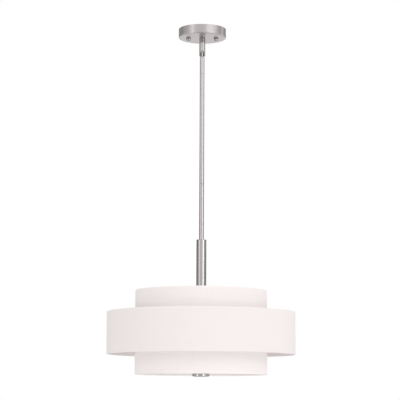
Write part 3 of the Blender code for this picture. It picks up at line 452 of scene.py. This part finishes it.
def turned(name, profile, steps, closed=True, matrix=None):
    """A profile turned about Z. Its UVs are lengths in metres, round the turn and along the profile."""
    work = bmesh.new()
    lengths = work.loops.layers.uv.new("lengths")
    count = len(profile)
    widest = max(radius for radius, height in profile)
    along = [0.0]
    for index in range(count):
        step = (Vector(profile[(index + 1) % count]) - Vector(profile[index])).length
        along.append(along[-1] + step)
    rings = []
    for radius, height in profile:
        if radius < POLE_RADIUS:
            rings.append([work.verts.new((0.0, 0.0, height))] * steps)
            continue
        ring = []
        for index in range(steps):
            angle = 2 * math.pi * index / steps
            ring.append(work.verts.new((radius * math.cos(angle), radius * math.sin(angle), height)))
        rings.append(ring)
    for index in range(count if closed else count - 1):
        upper, lower = rings[index], rings[(index + 1) % count]
        for step in range(steps):
            beside = (step + 1) % steps
            corners = [
                (upper[step], step, index), (upper[beside], step + 1, index),
                (lower[beside], step + 1, index + 1), (lower[step], step, index + 1),
            ]
            face_corners = []
            for corner in corners:
                if all(corner[0] is not kept[0] for kept in face_corners):
                    face_corners.append(corner)
            if len(face_corners) < 3:
                continue
            face = work.faces.new([corner[0] for corner in face_corners])
            for loop, corner in zip(face.loops, face_corners):
                loop[lengths].uv = (2 * math.pi * widest * corner[1] / steps, along[corner[2]])
    bmesh.ops.recalc_face_normals(work, faces=work.faces)
    return finished(name, work, matrix)


def finished(name, work, matrix=None):
    """Writes the mesh to an object, shaded smooth with sharp edges kept."""
    mesh = bpy.data.meshes.new(name)
    if matrix is not None:
        work.transform(matrix)
    work.to_mesh(mesh)
    work.free()
    mesh.shade_smooth()
    mesh.set_sharp_from_angle(angle=SHARP_ANGLE)
    obj = bpy.data.objects.new(name, mesh)
    bpy.context.scene.collection.objects.link(obj)
    return obj


def with_modifier(obj, kind, **settings):
    """Adds a modifier and applies it, which leaves a plain mesh."""
    modifier = obj.modifiers.new(kind.lower(), kind)
    for name, value in settings.items():
        setattr(modifier, name, value)
    graph = bpy.context.evaluated_depsgraph_get()
    mesh = bpy.data.meshes.new_from_object(obj.evaluated_get(graph))
    obj.modifiers.clear()
    obj.data = mesh
    return obj


def without(obj, cutter):
    """Cuts one object out of another and removes the cutter."""
    with_modifier(obj, "BOOLEAN", operation="DIFFERENCE", solver="EXACT", object=cutter)
    bpy.data.objects.remove(cutter, do_unlink=True)
    obj.data.set_sharp_from_angle(angle=SHARP_ANGLE)
    return obj


def prism(name, sides, radius, bottom, top, stretch=0.0, matrix=None):
    """An upright prism, pulled apart along Y to make a slot's form."""
    work = bmesh.new()
    bmesh.ops.create_cone(
        work, cap_ends=True, segments=sides, radius1=radius, radius2=radius, depth=top - bottom,
        matrix=Matrix.Translation((0, 0, (bottom + top) / 2)) @ Matrix.Rotation(math.pi / sides, 4, "Z"),
    )
    for vertex in work.verts:
        vertex.co.y += math.copysign(stretch / 2, vertex.co.y)
    return finished(name, work, matrix)


def dress(piece, node, finish):
    """Puts a finished piece in place of a CAD node, on the node's body, with the given finish.

    Its normals follow its larger faces, so that a wall is shaded straight up to its rounded edges.
    """
    if piece.type == "MESH":
        with_modifier(piece, "WEIGHTED_NORMAL", keep_sharp=True)
    piece.data.materials.clear()
    piece.data.materials.append(finish)
    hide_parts(node)
    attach(piece, BODY_OF[node])
    return piece


def keep(node, finish):
    """A CAD node that stays as it is, with its finish."""
    obj = frame["nodes"][node]
    obj.data.materials.clear()
    obj.data.materials.append(finish)


def refine(node, finish, edge=REFINE_EDGE):
    """A small pressed or cut part: its own form with broken edges."""
    source = frame["nodes"][node]
    work = bmesh.new()
    work.from_mesh(source.data)
    bmesh.ops.remove_doubles(work, verts=work.verts, dist=POLE_RADIUS)
    bmesh.ops.dissolve_limit(work, angle_limit=FLAT_ANGLE, verts=work.verts, edges=work.edges)
    piece = finished(f"{node}_fine", work)
    with_modifier(
        piece, "BEVEL", width=edge, segments=REFINE_SEGMENTS,
        limit_method="ANGLE", angle_limit=SHARP_ANGLE, use_clamp_overlap=True,
    )
    piece.data.set_sharp_from_angle(angle=SHARP_ANGLE)
    return dress(piece, node, finish)


def upright(node):
    """Moves a turned piece onto a node's own vertical axis."""
    centre = middle(node)
    return Matrix.Translation((centre.x, centre.y, 0))


def outward(azimuth_deg, height):
    """Turns local +Z to point away from the lamp's axis, at this height."""
    around = Matrix.Rotation(math.radians(azimuth_deg), 4, "Z")
    return around @ Matrix.Translation((0, 0, height)) @ Matrix.Rotation(math.pi / 2, 4, "Y")


ARM_AZIMUTHS = {number: FIRST_ARM_DEG + ARM_STEP_DEG * (number - 1) for number in (1, 2, 3)}


# Ceiling end


def build_canopy():
    """The spun ceiling cover, and the straps, screws and nuts that it hides."""
    radius = high("canopy").x
    floor = low("canopy").z
    top = high("canopy").z
    inside = radius - CANOPY_WALL
    profile = rounded([
        (radius, top, CANOPY_EDGE), (radius, floor, CANOPY_CORNER), (CANOPY_HOLE, floor, 0),
        (CANOPY_HOLE, floor + CANOPY_WALL, 0), (inside, floor + CANOPY_WALL, CANOPY_CORNER - CANOPY_WALL),
        (inside, top, CANOPY_EDGE),
    ])
    dress(turned("canopy_cover", profile, CANOPY_STEPS), "canopy", NICKEL_CANOPY)
    for side in ("left", "right"):
        build_knob(f"canopy_knob_{side}")
        for part in ("canopy_screw", "jam_nut"):
            refine(f"{part}_{side}", ZINC)
    for node in ("box_strap", "canopy_strap", "strap_rivet", "lock_washer", "collar_nut"):
        refine(node, ZINC)
    refine("ground_screw", GREEN)


def build_knob(node):
    """A domed knob, bored for its screw."""
    radius = (high(node).x - low(node).x) / 2
    top, bottom = high(node).z, low(node).z
    side_end = top - KNOB_SIDE
    dome = arc(0, 0, 1, 0, -90, KNOB_DOME_POINTS)
    profile = [Vector((0, top - KNOB_BORE_DEPTH)), Vector((KNOB_BORE, top - KNOB_BORE_DEPTH))]
    profile += [Vector((KNOB_BORE, top)), Vector((radius - KNOB_EDGE, top))]
    profile += [Vector((radius, top - KNOB_EDGE))]
    profile += [Vector((radius * point.x, side_end + (side_end - bottom) * point.y)) for point in dome[:-1]]
    profile += [Vector((0, bottom))]
    dress(turned(f"{node}_cap", profile, ROUND_STEPS, closed=False, matrix=upright(node)), node, NICKEL)


def build_collar():
    """The swivel collar, open below, with the slot that its stem swings through."""
    node = "swivel_collar"
    radius = high(node).x
    bottom, nipple_top = low(node).z, high(node).z
    top = low("canopy").z - FIT_GAP
    cavity = radius - COLLAR_WALL
    cavity_top = bottom + COLLAR_CAVITY_RISE
    profile = rounded([
        (NIPPLE_RADIUS, nipple_top, 0), (NIPPLE_RADIUS, top, 0), (radius, top, EDGE),
        (radius, bottom, EDGE), (cavity, bottom, FINE_EDGE), (cavity, cavity_top, 0),
        (COLLAR_BORE, cavity_top, 0), (COLLAR_BORE, nipple_top, 0),
    ])
    collar = turned("swivel_collar_tube", profile, TUBE_STEPS)
    below = SLOT_WIDTH / 2 + CUT_OVERRUN
    length = SLOT_RISE + below
    middle_height = bottom - below + length / 2
    stand = Matrix.Translation((0, 0, middle_height)) @ Matrix.Rotation(math.pi / 2, 4, "X")
    without(collar, prism(
        "slot_cut", SMALL_STEPS, SLOT_WIDTH / 2, 0, radius + CUT_OVERRUN, length - SLOT_WIDTH, stand,
    ))
    pin_level = middle("swivel_pin_left").z
    across = Matrix.Translation((0, 0, pin_level)) @ Matrix.Rotation(math.pi / 2, 4, "Y")
    reach = radius + CUT_OVERRUN
    without(collar, prism("pin_cut", SMALL_STEPS, PIN_HOLE_RADIUS, -reach, reach, matrix=across))
    dress(collar, node, NICKEL_COLLAR)
    for side in ("left", "right"):
        keep(f"swivel_pin_{side}", NICKEL_PLAIN)


def build_stem_and_rods():
    """The stem, whose ball end hangs on the collar's pins, and the two rods below it."""
    node = "swivel_stem"
    pivot = middle("swivel_pin_left").z
    rod_radius = high("upper_rod").x
    taper_top = pivot - NECK_DROP
    taper_bottom = taper_top - TAPER_LENGTH
    shank_bottom = taper_bottom - SHANK_LENGTH
    end = low(node).z
    ball_top = math.degrees(math.acos(STEM_BORE / BALL_RADIUS))
    ball_bottom = -math.degrees(math.acos(NECK_RADIUS / BALL_RADIUS))
    profile = arc(0, pivot, BALL_RADIUS, ball_top, ball_bottom, SMALL_STEPS // 2)
    profile += rounded([
        (NECK_RADIUS, taper_top + EDGE, 0), (NECK_RADIUS, taper_top, EDGE),
        (rod_radius, taper_bottom, EDGE), (rod_radius, shank_bottom, FINE_EDGE),
        (NIPPLE_RADIUS, shank_bottom, 0), (NIPPLE_RADIUS, end, 0), (STEM_BORE, end, 0),
    ], closed=False)
    dress(turned("swivel_stem_turned", profile, ROUND_STEPS), node, NICKEL_DRAWN)
    for rod in ("upper_rod", "lower_rod"):
        profile = rounded([
            (rod_radius, high(rod).z, EDGE), (rod_radius, low(rod).z, EDGE), (ROD_BORE, low(rod).z, 0),
            (ROD_BORE, high(rod).z, 0),
        ])
        dress(turned(f"{rod}_tube", profile, ROUND_STEPS), rod, NICKEL_DRAWN)
    keep("rod_coupling", THREAD)
    keep("centre_pipe", THREAD)


def build_sleeve():
    """The wider tube above the shades, with a cap plugged into each end."""
    node = "column_sleeve"
    radius = high(node).x
    wall = radius - SLEEVE_WALL
    profile = rounded([
        (radius, high(node).z, FINE_EDGE), (radius, low(node).z, FINE_EDGE), (wall, low(node).z, 0),
        (wall, high(node).z, 0),
    ])
    dress(turned("column_sleeve_tube", profile, TUBE_STEPS), node, NICKEL_DRAWN)
    plug = wall - FIT_GAP
    top, plug_end = high("sleeve_top_cap").z, low("sleeve_top_cap").z
    profile = rounded([
        (radius, top, EDGE), (radius, top - CAP_LIP, FINE_EDGE), (plug, top - CAP_LIP, 0),
        (plug, plug_end, 0), (CAP_HOLE, plug_end, 0), (CAP_HOLE, top, FINE_EDGE),
    ])
    dress(turned("sleeve_top_cap_turned", profile, TUBE_STEPS), "sleeve_top_cap", NICKEL)
    plug_end, bottom = high("sleeve_bottom_cap").z, low("sleeve_bottom_cap").z
    profile = rounded([
        (plug, plug_end, 0), (plug, bottom + CAP_LIP, 0), (radius, bottom + CAP_LIP, FINE_EDGE),
        (radius, bottom, EDGE), (CAP_HOLE, bottom, 0), (CAP_HOLE, plug_end, 0),
    ])
    dress(turned("sleeve_bottom_cap_turned", profile, TUBE_STEPS), "sleeve_bottom_cap", NICKEL)


# Sockets, hub and arms


def build_socket_cluster():
    """The spun cup, the plate that closes it, and the three sockets below."""
    node = "wiring_cup"
    radius, top, bottom = high(node).x, high(node).z, low(node).z
    inside = radius - CUP_WALL
    profile = rounded([
        (CAP_HOLE, top, 0), (radius, top, CUP_CORNER), (radius, bottom, 0), (inside, bottom, 0),
        (inside, top - CUP_WALL, CUP_CORNER - CUP_WALL), (CAP_HOLE, top - CUP_WALL, 0),
    ])
    dress(turned("wiring_cup_spun", profile, TUBE_STEPS), node, NICKEL)
    node = "socket_plate"
    radius, top, bottom = high(node).x, high(node).z, low(node).z
    profile = rounded([
        (radius, top, PLATE_EDGE), (radius, bottom, PLATE_EDGE), (CAP_HOLE, bottom, 0), (CAP_HOLE, top, 0),
    ])
    dress(turned("socket_plate_disc", profile, TUBE_STEPS), node, ZINC)
    for number in (1, 2, 3):
        build_socket(f"socket_body_{number}")
        keep(f"socket_shell_{number}", SHELL_METAL)
        keep(f"socket_contact_{number}", BRASS)
        refine(f"socket_bolt_{number}", ZINC)


def build_socket(node):
    """A moulded socket body with rings round its lower half."""
    radius = (high(node).x - low(node).x) / 2
    top, mouth = high(node).z, low(node).z
    cavity = radius - SOCKET_WALL
    neck_bottom = top - SOCKET_NECK_LENGTH
    corners = [
        (SOCKET_NECK_RADIUS, top, EDGE), (SOCKET_NECK_RADIUS, neck_bottom, EDGE),
        (radius, neck_bottom - SOCKET_SHOULDER, EDGE),
    ]
    level = neck_bottom - SOCKET_SHOULDER - SOCKET_RIB_PITCH
    for _ in range(SOCKET_RIB_COUNT):
        corners += [
            (radius, level, 0), (radius - SOCKET_RIB_HEIGHT, level - SOCKET_RIB_HEIGHT, 0),
            (radius - SOCKET_RIB_HEIGHT, level - SOCKET_RIB_PITCH / 2, 0),
            (radius, level - SOCKET_RIB_PITCH / 2 - SOCKET_RIB_HEIGHT, 0),
        ]
        level -= SOCKET_RIB_PITCH
    corners += [
        (radius, mouth, EDGE), (cavity, mouth, EDGE), (cavity, top - SOCKET_BASE, 0),
        (SOCKET_BOLT_HOLE, top - SOCKET_BASE, 0), (SOCKET_BOLT_HOLE, top, 0),
    ]
    dress(turned(f"{node}_moulded", rounded(corners), ROUND_STEPS, matrix=upright(node)), node, PHENOLIC)


def build_hub_and_arms():
    """The hub, and the arms that pass the inner drum in eyelets."""
    node = "arm_hub"
    radius, top, bottom = high(node).y, high(node).z, low(node).z
    step = top - HUB_STEP_DEPTH
    profile = rounded([
        (radius, top, FINE_EDGE), (radius, bottom, HUB_CHAMFER), (HUB_ROD_HOLE, bottom, 0),
        (HUB_ROD_HOLE, step, 0), (CAP_HOLE, step, 0), (CAP_HOLE, top, 0),
    ])
    dress(turned("arm_hub_turned", profile, ROUND_STEPS), node, NICKEL)
    level = middle("tier_arm_1").z
    arm_radius = (high("tier_arm_1").z - low("tier_arm_1").z) / 2
    inner_end, outer_end = low("tier_arm_1").y, high("tier_arm_1").y
    fabric_radius = high("inner_fabric").y
    liner_inside = fabric_radius - FABRIC_THICKNESS - LINER_THICKNESS - FIT_GAP
    for number, azimuth in ARM_AZIMUTHS.items():
        radial = outward(azimuth, level)
        thread = []
        place = outer_end
        for _ in range(THREAD_TURNS):
            thread += [(arm_radius - THREAD_DEPTH, place, 0), (arm_radius, place - THREAD_PITCH / 2, 0)]
            place -= THREAD_PITCH
        profile = [Vector((0, outer_end))] + [Vector(corner[:2]) for corner in thread]
        profile += [Vector((arm_radius, inner_end)), Vector((0, inner_end))]
        arm = turned(f"tier_arm_{number}_rod", profile, SMALL_STEPS, closed=False, matrix=radial)
        dress(arm, f"tier_arm_{number}", NICKEL_DRAWN)
        refine(f"arm_nut_{number}", NICKEL_PLAIN, FINE_EDGE)
        outside = fabric_radius + FIT_GAP
        inside = liner_inside - FIT_GAP
        profile = rounded([
            (EYELET_FLANGE, outside + EYELET_FLANGE_THICKNESS, FINE_EDGE), (EYELET_FLANGE, outside, 0),
            (EYELET_BARREL, outside, 0), (EYELET_BARREL, inside, 0), (EYELET_FLANGE, inside, 0),
            (EYELET_FLANGE, inside - EYELET_FLANGE_THICKNESS, FINE_EDGE),
            (EYELET_HOLE, inside - EYELET_FLANGE_THICKNESS, FINE_EDGE),
            (EYELET_HOLE, outside + EYELET_FLANGE_THICKNESS, FINE_EDGE),
        ])
        eyelet = turned(f"arm_eyelet_{number}_ring", profile, SMALL_STEPS, matrix=radial)
        dress(eyelet, f"arm_eyelet_{number}", NICKEL)


# Drums


def wire_ring(name, node, radius, level):
    """A closed ring of round wire."""
    profile = arc(radius, level, WIRE_RADIUS, 90, 90 - 360 * (1 - 1 / WIRE_STEPS), WIRE_STEPS)
    return dress(turned(name, profile, DRUM_STEPS), node, WIRE)


def spider_arm(name, azimuth, ring_radius, ring_level, arm_level, inner_end):
    """One bent wire from the ring down to the washer, as a curve."""
    points = [(ring_radius, ring_level)]
    for index in range(SPIDER_BEND_POINTS):
        share = index / (SPIDER_BEND_POINTS - 1)
        fall = share * share * (3 - 2 * share)
        place = SPIDER_BEND_START + (SPIDER_BEND_END - SPIDER_BEND_START) * share
        points.append((place, ring_level + (arm_level - ring_level) * fall))
    points.append((inner_end, arm_level))
    curve = bpy.data.curves.new(name, "CURVE")
    curve.dimensions = "3D"
    curve.bevel_depth = SPIDER_WIRE_RADIUS
    curve.bevel_resolution = SPIDER_WIRE_SEGMENTS
    curve.use_fill_caps = True
    spline = curve.splines.new("POLY")
    spline.points.add(len(points) - 1)
    angle = math.radians(azimuth)
    for knot, (place, level) in zip(spline.points, points):
        knot.co = (place * math.cos(angle), place * math.sin(angle), level, 1.0)
    obj = bpy.data.objects.new(name, curve)
    bpy.context.scene.collection.objects.link(obj)
    return obj


def build_lug(number, azimuth, outer_radius, ring_level):
    """The block that joins an arm's end to the outer drum's top ring, bored for the arm."""
    inner_radius = outer_radius - ARM_LUG_LENGTH
    bottom = low("outer_top_frame").z
    size = (ARM_LUG_LENGTH, ARM_LUG_WIDTH, ring_level - bottom)
    work = bmesh.new()
    bmesh.ops.create_cube(work, size=1.0, matrix=Matrix.Diagonal((*size, 1.0)))
    around = Matrix.Rotation(math.radians(azimuth), 4, "Z")
    place = Matrix.Translation(((inner_radius + outer_radius) / 2, 0, (bottom + ring_level) / 2))
    lug = finished(f"arm_lug_{number}", work, around @ place)
    with_modifier(lug, "BEVEL", width=ARM_LUG_EDGE, segments=LUG_SEGMENTS, limit_method="NONE")
    bore = prism(
        f"lug_bore_{number}", SMALL_STEPS, EYELET_HOLE, inner_radius - CUT_OVERRUN,
        outer_radius + CUT_OVERRUN, matrix=outward(azimuth, middle("tier_arm_1").z),
    )
    dress(without(lug, bore), "outer_top_frame", WIRE)


def build_frames():
    """The rings, the bent spider and its washer, and the lugs that the outer drum hangs by."""
    for prefix in ("inner", "outer"):
        fabric = f"{prefix}_fabric"
        radius = high(fabric).x - RIM_RADIUS
        wire_ring(f"{prefix}_top_ring", f"{prefix}_top_frame", radius, high(fabric).z - RIM_RADIUS)
        bottom_level = low(fabric).z + RIM_RADIUS
        wire_ring(f"{prefix}_bottom_ring_wire", f"{prefix}_bottom_ring", radius, bottom_level)
    washer_bottom = low("inner_top_frame").z
    washer_top = washer_bottom + SPIDER_WASHER_THICKNESS
    profile = rounded([
        (SPIDER_WASHER_RADIUS, washer_top, FINE_EDGE), (SPIDER_WASHER_RADIUS, washer_bottom, FINE_EDGE),
        (CAP_HOLE, washer_bottom, 0), (CAP_HOLE, washer_top, 0),
    ])
    dress(turned("spider_washer", profile, TUBE_STEPS), "inner_top_frame", WIRE)
    inner_radius, outer_radius = (high(fabric).x - RIM_RADIUS for fabric in ("inner_fabric", "outer_fabric"))
    inner_level, outer_level = (high(fabric).z - RIM_RADIUS for fabric in ("inner_fabric", "outer_fabric"))
    arm_level = washer_top + SPIDER_WIRE_RADIUS - SPIDER_WELD_DEPTH
    inner_end = high("column_sleeve").x + SPIDER_END_GAP
    for number, azimuth in ARM_AZIMUTHS.items():
        arm = spider_arm(
            f"spider_arm_{number}", azimuth, inner_radius, inner_level, arm_level, inner_end,
        )
        dress(arm, "inner_top_frame", WIRE)
        build_lug(number, azimuth, outer_radius, outer_level)


def rim(centre, level, up):
    """The cloth's path round a wire ring: the turned-in tail, the fold, then the start of the wall.

    It gives the cloth's outer face and its inner face, and up is 1 at a drum's top and -1 at its bottom.
    """
    faces = []
    turn_in = math.radians(RIM_TURN_IN_DEG - 180)
    for radius in (RIM_RADIUS, RIM_RADIUS - FABRIC_THICKNESS):
        tail = centre + RIM_RADIUS - radius
        run_in = tail - centre + radius * math.cos(turn_in)
        slope_end = radius * math.sin(turn_in) + run_in / math.tan(turn_in)
        face = [Vector((tail, level - up * RIM_TAIL)), Vector((tail, level - up * slope_end))]
        face += arc(centre, level, radius, up * RIM_TURN_IN_DEG, 0, RIM_POINTS)
        faces.append(face)
    return faces


def build_drum(prefix):
    """The liner, and the cloth round it, rolled over both wire rings and tucked in, lapped at the back.
    """
    node = f"{prefix}_fabric"
    radius, top, bottom = high(node).x, high(node).z, low(node).z
    liner_outside = radius - FABRIC_THICKNESS
    liner_inside = liner_outside - LINER_THICKNESS
    setback = RIM_RADIUS + WIRE_RADIUS + SHEET_GAP
    profile = rounded([
        (liner_outside, top - setback, 0), (liner_outside, bottom + setback, 0),
        (liner_inside, bottom + setback, FINE_EDGE), (liner_inside, top - setback, FINE_EDGE),
    ])
    dress(turned(f"{prefix}_liner_sheet", profile, DRUM_STEPS), f"{prefix}_liner", LINER)

    centre = radius - RIM_RADIUS
    top_out, top_in = rim(centre, top - RIM_RADIUS, 1)
    bottom_out, bottom_in = rim(centre, bottom + RIM_RADIUS, -1)
    profile = top_out + bottom_out[::-1] + bottom_in + top_in[::-1]
    # The inner drum takes the lighter tone of the one cloth, which is painted light against the outer drum's
    # shade; the outer drum takes the darker tone.
    fabric = FABRIC_INNER_PAINTED_LIGHTER if prefix == "inner" else FABRIC_OUTER_PAINTED_DARKER
    cloth = dress(turned(f"{prefix}_shade_cloth", profile, DRUM_STEPS), node, fabric)
    seam = build_seam(f"{prefix}_shade_seam", radius, top - RIM_RADIUS, bottom + RIM_RADIUS)
    seam.data.materials.append(fabric)
    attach(seam, BODY_OF[node])


def build_seam(name, radius, top, bottom):
    """The lapped end of the cloth: a narrow strip that stands a little proud at the back."""
    work = bmesh.new()
    lengths = work.loops.layers.uv.new("lengths")
    rows = []
    for column in range(SEAM_COLUMNS + 1):
        share = column / SEAM_COLUMNS
        angle = math.radians(SEAM_AZIMUTH_DEG) + (share - 0.5) * SEAM_WIDTH / radius
        rise = SEAM_RISE if 0 < column < SEAM_COLUMNS else -SEAM_RISE
        place = ((radius + rise) * math.cos(angle), (radius + rise) * math.sin(angle))
        rows.append([work.verts.new((*place, top)), work.verts.new((*place, bottom))])
    for column in range(SEAM_COLUMNS):
        face = work.faces.new((rows[column][0], rows[column][1], rows[column + 1][1], rows[column + 1][0]))
        for loop in face.loops:
            angle = math.atan2(loop.vert.co.y, loop.vert.co.x)
            loop[lengths].uv = (angle * radius, loop.vert.co.z)
    bmesh.ops.recalc_face_normals(work, faces=work.faces)
    strip = finished(name, work)
    with_modifier(strip, "SOLIDIFY", thickness=SEAM_RISE, offset=-1.0)
    strip.data.set_sharp_from_angle(angle=SHARP_ANGLE)
    return strip


# Diffuser and finial


def build_diffuser_and_finial():
    node = "diffuser"
    radius, top, bottom = high(node).x, high(node).z, low(node).z
    profile = rounded([
        (radius, top, DIFFUSER_EDGE), (radius, bottom, DIFFUSER_EDGE), (DIFFUSER_HOLE, bottom, FINE_EDGE),
        (DIFFUSER_HOLE, top, FINE_EDGE),
    ])
    dress(turned("diffuser_disc", profile, DRUM_STEPS), node, ACRYLIC)
    keep("diffuser_rod", THREAD)
    node = "finial"
    radius, top, bottom = high(node).x, high(node).z, low(node).z
    profile = rounded([
        (0, top - FINIAL_BORE_DEPTH, 0), (DIFFUSER_HOLE, top - FINIAL_BORE_DEPTH, 0), (DIFFUSER_HOLE, top, 0),
        (radius, top, FINIAL_TOP_CORNER), (radius, bottom + FINIAL_CROWN, FINIAL_CORNER), (0, bottom, 0),
    ], closed=False)
    dress(turned("finial_turned", profile, TUBE_STEPS, closed=False), node, NICKEL_FINIAL)


# Camera, floor and light


def build_camera():
    data = bpy.data.cameras.new("camera")
    data.lens = CAMERA_LENS
    data.sensor_width = SENSOR_WIDTH
    camera = bpy.data.objects.new("camera", data)
    bpy.context.scene.collection.objects.link(camera)
    tilt = Matrix.Rotation(math.radians(CAMERA_TILT_DEG), 4, "X")
    roll = Matrix.Rotation(math.radians(CAMERA_ROLL_DEG), 4, "Z")
    camera.matrix_world = Matrix.Translation(CAMERA_PLACE) @ tilt @ roll
    bpy.context.scene.camera = camera


def build_floor():
    work = bmesh.new()
    bmesh.ops.create_grid(work, x_segments=FLOOR_CELLS, y_segments=FLOOR_CELLS, size=FLOOR_SIZE / 2)
    floor = finished("floor", work, Matrix.Translation((0, 0, FLOOR_LEVEL)))
    floor.data.materials.append(FLOOR)


ROUND_WHITE = (1.0, 0.985, 0.98)
LOW_WHITE = (1.0, 0.985, 0.975)
HIGH_WHITE = (1.0, 0.99, 0.985)
LIGHTS = (
    # name, degrees from the front, distance, height, width and height of its face, radiance, colour
    ("right_soft", 45.0, 3.4, -0.05, 1.90, 2.3, 0.70, ROUND_WHITE),
    ("right_strip_high", 26.0, 3.0, 0.65, 0.30, 0.9, 1.7, ROUND_WHITE),
    ("right_strip_low", 43.0, 3.0, -0.40, 0.30, 1.1, 3.0, ROUND_WHITE),
    ("right_side", 68.0, 3.0, -0.05, 0.50, 2.2, 0.7, ROUND_WHITE),
    ("right_rear", 114.0, 3.2, -0.05, 0.60, 2.3, 1.15, ROUND_WHITE),
    ("left_strip", -50.0, 3.0, -0.05, 0.40, 2.2, 1.8, ROUND_WHITE),
    ("left_side", -92.0, 3.2, -0.45, 1.20, 1.8, 0.3, ROUND_WHITE),
    ("low_strip_left", -46.0, 3.0, -1.35, 0.80, 0.9, 2.6, ROUND_WHITE),
    ("low_strip_right", 36.0, 3.0, -1.35, 1.10, 0.9, 2.6, ROUND_WHITE),
    ("low_left", -68.0, 2.4, -1.95, 3.0, 1.7, 0.35, LOW_WHITE),
    ("low_right", 68.0, 2.4, -1.95, 3.0, 1.7, 0.4, LOW_WHITE),
    ("overhead", 0.0, 0.3, 2.0, 2.5, 2.5, 1.6, HIGH_WHITE),
)
LIGHTS_AIM = Vector((0, 0, -0.55))

# The studio round the lamp. FRONT is the camera's side and BACK the far side. The pairs say where one
# brightness blends into the next: a direction's Y for BEHIND, and its Z for the other three.
ROOM_FRONT = (1.15, 1.14, 1.14)
ROOM_BACK = (0.47, 0.46, 0.455)
ROOM_ABOVE = (0.65, 0.645, 0.64)
FLOOR_FRONT = (0.50, 0.495, 0.49)
FLOOR_BACK = (1.12, 1.105, 1.10)
HORIZON_FRONT = (0.92, 0.905, 0.90)
HORIZON_BACK = (0.08, 0.08, 0.08)
HORIZON_TOP = (0.10, 0.21)
HORIZON_BOTTOM = (-0.06, -0.12)
ROOM_TOP = (0.28, 0.5)
BEHIND = (-0.7, 0.4)
BACKDROP = (1.0, 1.0, 1.0, 1.0)


def build_lights():
    """Soft boxes round the lamp, each given by how bright its face is."""
    for name, azimuth, distance, height, width, tall, radiance, colour in LIGHTS:
        data = bpy.data.lights.new(name, "AREA")
        data.shape = "RECTANGLE"
        data.size = width
        data.size_y = tall
        data.energy = radiance * math.pi * width * tall
        data.color = colour
        light = bpy.data.objects.new(name, data)
        light.visible_camera = False
        bpy.context.scene.collection.objects.link(light)
        angle = math.radians(azimuth)
        place = Vector((distance * math.sin(angle), -distance * math.cos(angle), height))
        light.location = place
        light.rotation_euler = (LIGHTS_AIM - place).to_track_quat("-Z", "Y").to_euler()


def build_world():
    """A white backdrop, in a studio that is brighter round the camera than behind the lamp."""
    world = bpy.data.worlds.new("studio")
    bpy.context.scene.world = world
    world.use_nodes = True
    tree = world.node_tree
    tree.nodes.clear()
    direction = add(tree, "ShaderNodeTexCoord").outputs["Generated"]
    parts = add(tree, "ShaderNodeSeparateXYZ", {"Vector": direction})
    behind = spread(tree, parts.outputs["Y"], *BEHIND, 0.0, 1.0)
    rise = parts.outputs["Z"]
    level = blend(tree, behind, ROOM_FRONT, ROOM_BACK)
    horizon = blend(tree, behind, HORIZON_FRONT, HORIZON_BACK)
    level = blend(tree, spread(tree, rise, *HORIZON_TOP, 0.0, 1.0), horizon, level)
    upper = blend(tree, spread(tree, rise, *ROOM_TOP, 0.0, 1.0), level, ROOM_ABOVE)
    ground = blend(tree, behind, FLOOR_FRONT, FLOOR_BACK)
    colour = blend(tree, spread(tree, rise, *HORIZON_BOTTOM, 0.0, 1.0), upper, ground)
    room = add(tree, "ShaderNodeBackground", {"Color": colour, "Strength": 1.0})
    backdrop = add(tree, "ShaderNodeBackground", {"Color": BACKDROP, "Strength": 1.0})
    path = add(tree, "ShaderNodeLightPath")
    mixed = add(tree, "ShaderNodeMixShader", {"Fac": path.outputs["Is Camera Ray"]})
    tree.links.new(room.outputs["Background"], mixed.inputs[1])
    tree.links.new(backdrop.outputs["Background"], mixed.inputs[2])
    out = add(tree, "ShaderNodeOutputWorld")
    tree.links.new(mixed.outputs["Shader"], out.inputs["Surface"])


build_camera()
build_canopy()
build_collar()
build_stem_and_rods()
build_sleeve()
build_socket_cluster()
build_hub_and_arms()
build_frames()
build_drum("inner")
build_drum("outer")
build_diffuser_and_finial()
build_floor()
build_lights()
build_world()
bpy.context.scene.view_settings.view_transform = "Standard"
